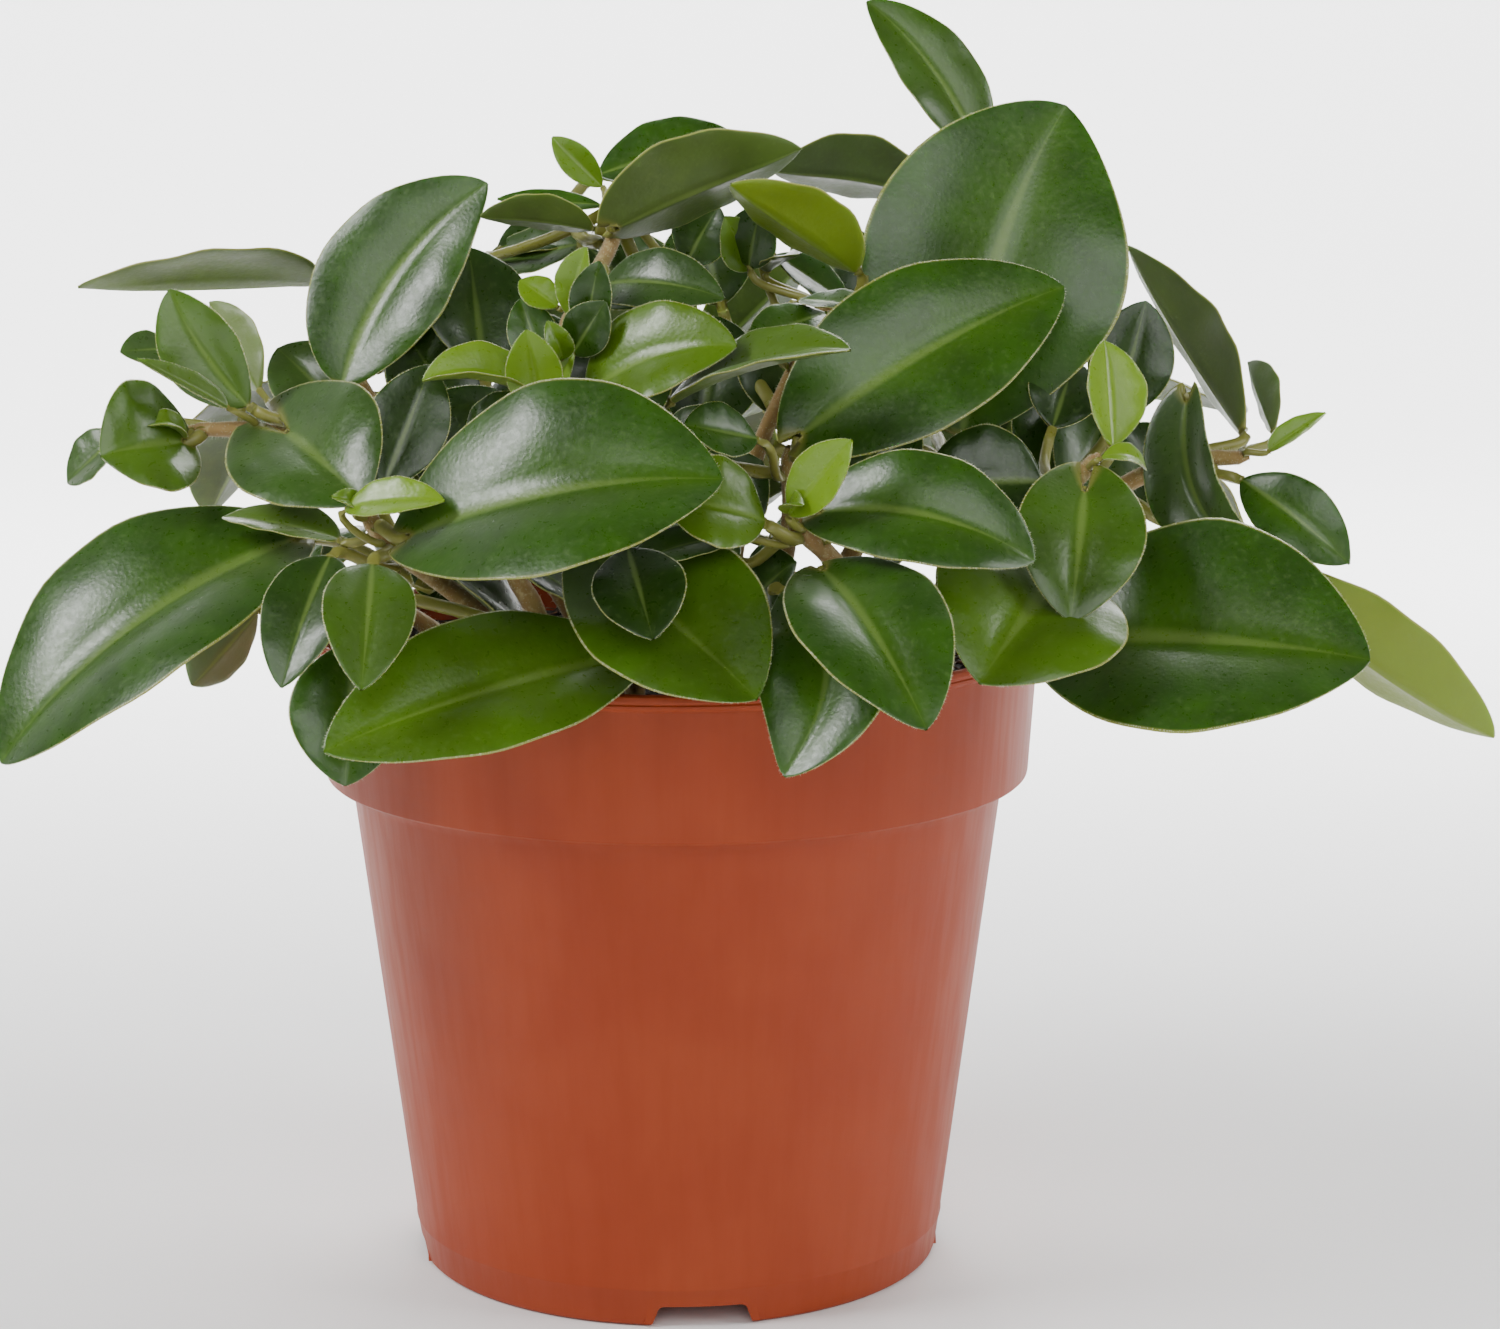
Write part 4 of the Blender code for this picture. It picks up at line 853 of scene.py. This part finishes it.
soilLook = {
    "top": 99.6,  # mean height of the compost
    "edge": 57.0,  # radius of the bed
    "skirt": 12,  # how far its side goes down
    "rings": 60,
    "sides": 160,
    "crumbs": 900,
    "crumb": (0.5, 2.2),  # least and greatest radius
    "fibres": 260,
    "fibre": (4.0, 16.0),  # least and greatest length
    "fibreThick": (0.08, 0.2),
    "dark": ("#120A06", "#3A2417"),
    "pale": ("#4A3020", "#8A6744"),
}


# Height of the compost: a few crossed waves of different lengths
def soilHeight(x, y):
    broad = 0.8 * np.sin(x / 5 + 2) * np.sin(y / 4 + 1)
    middling = 0.35 * np.sin(x / 1.7) * np.sin(y / 2.1 + x / 6)
    return soilLook["top"] + broad + middling + 0.18 * np.sin(x * 1.9 + y) * np.sin(y * 1.7)


# The bed of compost, crumbs lying on it and root fibres across it
def makeSoil(materials):
    rings, sides, edge = soilLook["rings"], soilLook["sides"], soilLook["edge"]
    radius = np.linspace(0.3, edge, rings)[:, None]
    angle = np.linspace(0, 2 * pi, sides, endpoint=False)[None]
    x, y = radius * np.cos(angle), radius * np.sin(angle)
    bed = np.stack([x, y, soilHeight(x, y)], -1)
    skirt = bed[-1:] - [0, 0, soilLook["skirt"]]
    points = np.concatenate([bed, skirt]).reshape(-1, 3)
    faces = ringFaces(rings + 1, sides)[:, ::-1].tolist()
    faces.append(list(range(sides)))
    piece = makeMesh("soilBed", points, faces, [materials[0]])
    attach(piece, "root")
    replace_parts(piece, "soil")
    chance = np.random.default_rng(7)
    many = soilLook["crumbs"]
    # crumbs: bent octahedra, pushed about at random
    corner = np.array([(1, 0, 0), (0, 1, 0), (-1, 0, 0), (0, -1, 0), (0, 0, 1), (0, 0, -1)], float)
    solid = np.array([(0, 1, 4), (1, 2, 4), (2, 3, 4), (3, 0, 4), (1, 0, 5), (2, 1, 5), (3, 2, 5), (0, 3, 5)])
    r = edge * np.sqrt(chance.random(many)) * 0.985
    a = chance.uniform(0, 2 * pi, many)
    size = chance.uniform(*soilLook["crumb"], many) * chance.uniform(0.4, 1, many)
    x, y = r * np.cos(a), r * np.sin(a)
    spot = np.stack([x, y, soilHeight(x, y) + size * 0.2], -1)
    lump = corner[None] * size[:, None, None] * chance.uniform(0.45, 1.0, (many, 6, 1))
    lump = lump + chance.normal(0, 0.12, (many, 6, 3))
    points = (spot[:, None] + lump).reshape(-1, 3)
    faces = (solid[None] + np.arange(many)[:, None, None] * 6).reshape(-1, 3).tolist()
    crumbs = makeMesh("soilCrumbs", points, faces, [materials[0]], smooth=False)
    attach(crumbs, "root")
    # fibres: thin bent tubes lying on the bed
    count, steps, size = soilLook["fibres"], 7, 5
    allPoints, allFaces = [], []
    for number in range(count):
        r, a = edge * 0.95 * chance.random() ** 0.5, chance.uniform(0, 2 * pi)
        way, long = chance.uniform(0, 2 * pi), chance.uniform(*soilLook["fibre"])
        u = np.linspace(-0.5, 0.5, steps)
        curve = chance.normal(0, 2.0)
        x = r * cos(a) + long * u * cos(way) - curve * u**2 * 4 * sin(way)
        y = r * sin(a) + long * u * sin(way) + curve * u**2 * 4 * cos(way)
        shrink = np.minimum(1, edge / (np.hypot(x, y) + 0.8))  # keeps it on the bed
        x, y = x * shrink, y * shrink
        path = np.stack([x, y, soilHeight(x, y) + 0.3 + 0.5 * chance.random(steps)], -1)
        radii = np.full(steps, chance.uniform(*soilLook["fibreThick"]))
        allPoints.append(tubeRings(path, radii, size).reshape(-1, 3))
        allFaces.append(ringFaces(steps, size, number * steps * size))
    fibres = makeMesh("soilFibres", np.vstack(allPoints), np.vstack(allFaces).tolist(), [materials[1]])
    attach(fibres, "root")


# the object

print("pot")
makePot(potPlastic())
print("soil")
makeSoil([peat("peatDark", *soilLook["dark"]), peat("peatFibre", *soilLook["pale"])])
print("stems")
leafMaterials = [leafSkin(), hairSkin()]
stemMaterials = [stemSkin(), leafMaterials[1]]
for number, name in enumerate(stems):
    stemPiece(name, stemMaterials, 100 + number)
print("leaves")
for name, row in leaves.items():
    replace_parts(leafPiece(name + "_fine", [(name, row)], leafMaterials), name)
young = [*buds.items(), *sprigs.items(), *inner.items(), *[("pair", row) for row in pairRows()]]
for name in stems:
    rows = [(leafName, row) for leafName, row in young if row[0] == name]
    if rows:
        leafPiece(name + "_young", rows, leafMaterials)


# floor, light and camera

# metres and watts here
studio = {
    "floor": "#FAFAFA", "sky": "#FFFFFF", "skyPower": 0.07,
    "front": -2.5, "wallAt": 1.5, "bend": 0.5, "wallTop": 3.0, "halfWide": 4.0,
}
lights = {  # place, target, size, power
    "key": ((-0.75, -0.3, 0.75), (0, 0, 0.1), (0.3, 0.45), 8.5),
    "fill": ((0.85, -0.3, 0.45), (0, 0, 0.1), (0.3, 0.7), 4.5),
    "front": ((0.1, -2.2, 1.3), (0, 0, 0.1), (2.0, 1.6), 30),
    "top": ((0.2, 0.65, 0.75), (0, 0, 0.13), (0.7, 0.3), 7),
    "wall": ((0, 0.5, 0.75), (0, 1.5, 0.15), (2.4, 0.3), 60),
}
cameraLook = {"place": (0.012, -0.618, 0.215), "down": 10.64, "lens": 91.5, "sensor": 36}


# A white sweep: floor, curve and wall in one sheet, and a plain white sky
def makeStudio():
    material, _ = newMaterial("floorPaper", {"Base Color": linear(studio["floor"]), "Roughness": 0.9})
    turn = np.linspace(0, pi / 2, 13)
    back, bend, side = studio["wallAt"], studio["bend"], studio["halfWide"]
    y = np.concatenate([[studio["front"]], back - bend + bend * np.sin(turn), [back]])
    z = np.concatenate([[0.0], bend * (1 - np.cos(turn)), [studio["wallTop"]]])
    points = np.stack([np.stack([np.full(len(y), x), y, z], -1) for x in (-side, side)], 1).reshape(-1, 3)
    faces = [(2 * n, 2 * n + 1, 2 * n + 3, 2 * n + 2) for n in range(len(y) - 1)]
    floor = makeMesh("floor", points * 1000, faces, [material])
    world = bpy.data.worlds.new("studio")
    world.use_nodes = True
    sky = world.node_tree.nodes["Background"]
    sky.inputs["Color"].default_value = linear(studio["sky"])
    sky.inputs["Strength"].default_value = studio["skyPower"]
    bpy.context.scene.world = world


def addLight(name, place, target, size, power):
    data = bpy.data.lights.new(name, "AREA")
    data.shape, data.size, data.size_y, data.energy = "RECTANGLE", size[0], size[1], power
    light = bpy.data.objects.new(name, data)
    light.location = place
    light.rotation_euler = (Vector(target) - Vector(place)).to_track_quat("-Z", "Y").to_euler()
    bpy.context.scene.collection.objects.link(light)


def addCamera():
    data = bpy.data.cameras.new("camera")
    data.lens, data.sensor_width, data.clip_start = cameraLook["lens"], cameraLook["sensor"], 0.01
    camera = bpy.data.objects.new("camera", data)
    camera.location = cameraLook["place"]
    camera.rotation_euler = (radians(90 - cameraLook["down"]), 0, 0)
    bpy.context.scene.collection.objects.link(camera)
    bpy.context.scene.camera = camera


print("studio")
makeStudio()
for name, settings in lights.items():
    addLight(name, *settings)
addCamera()
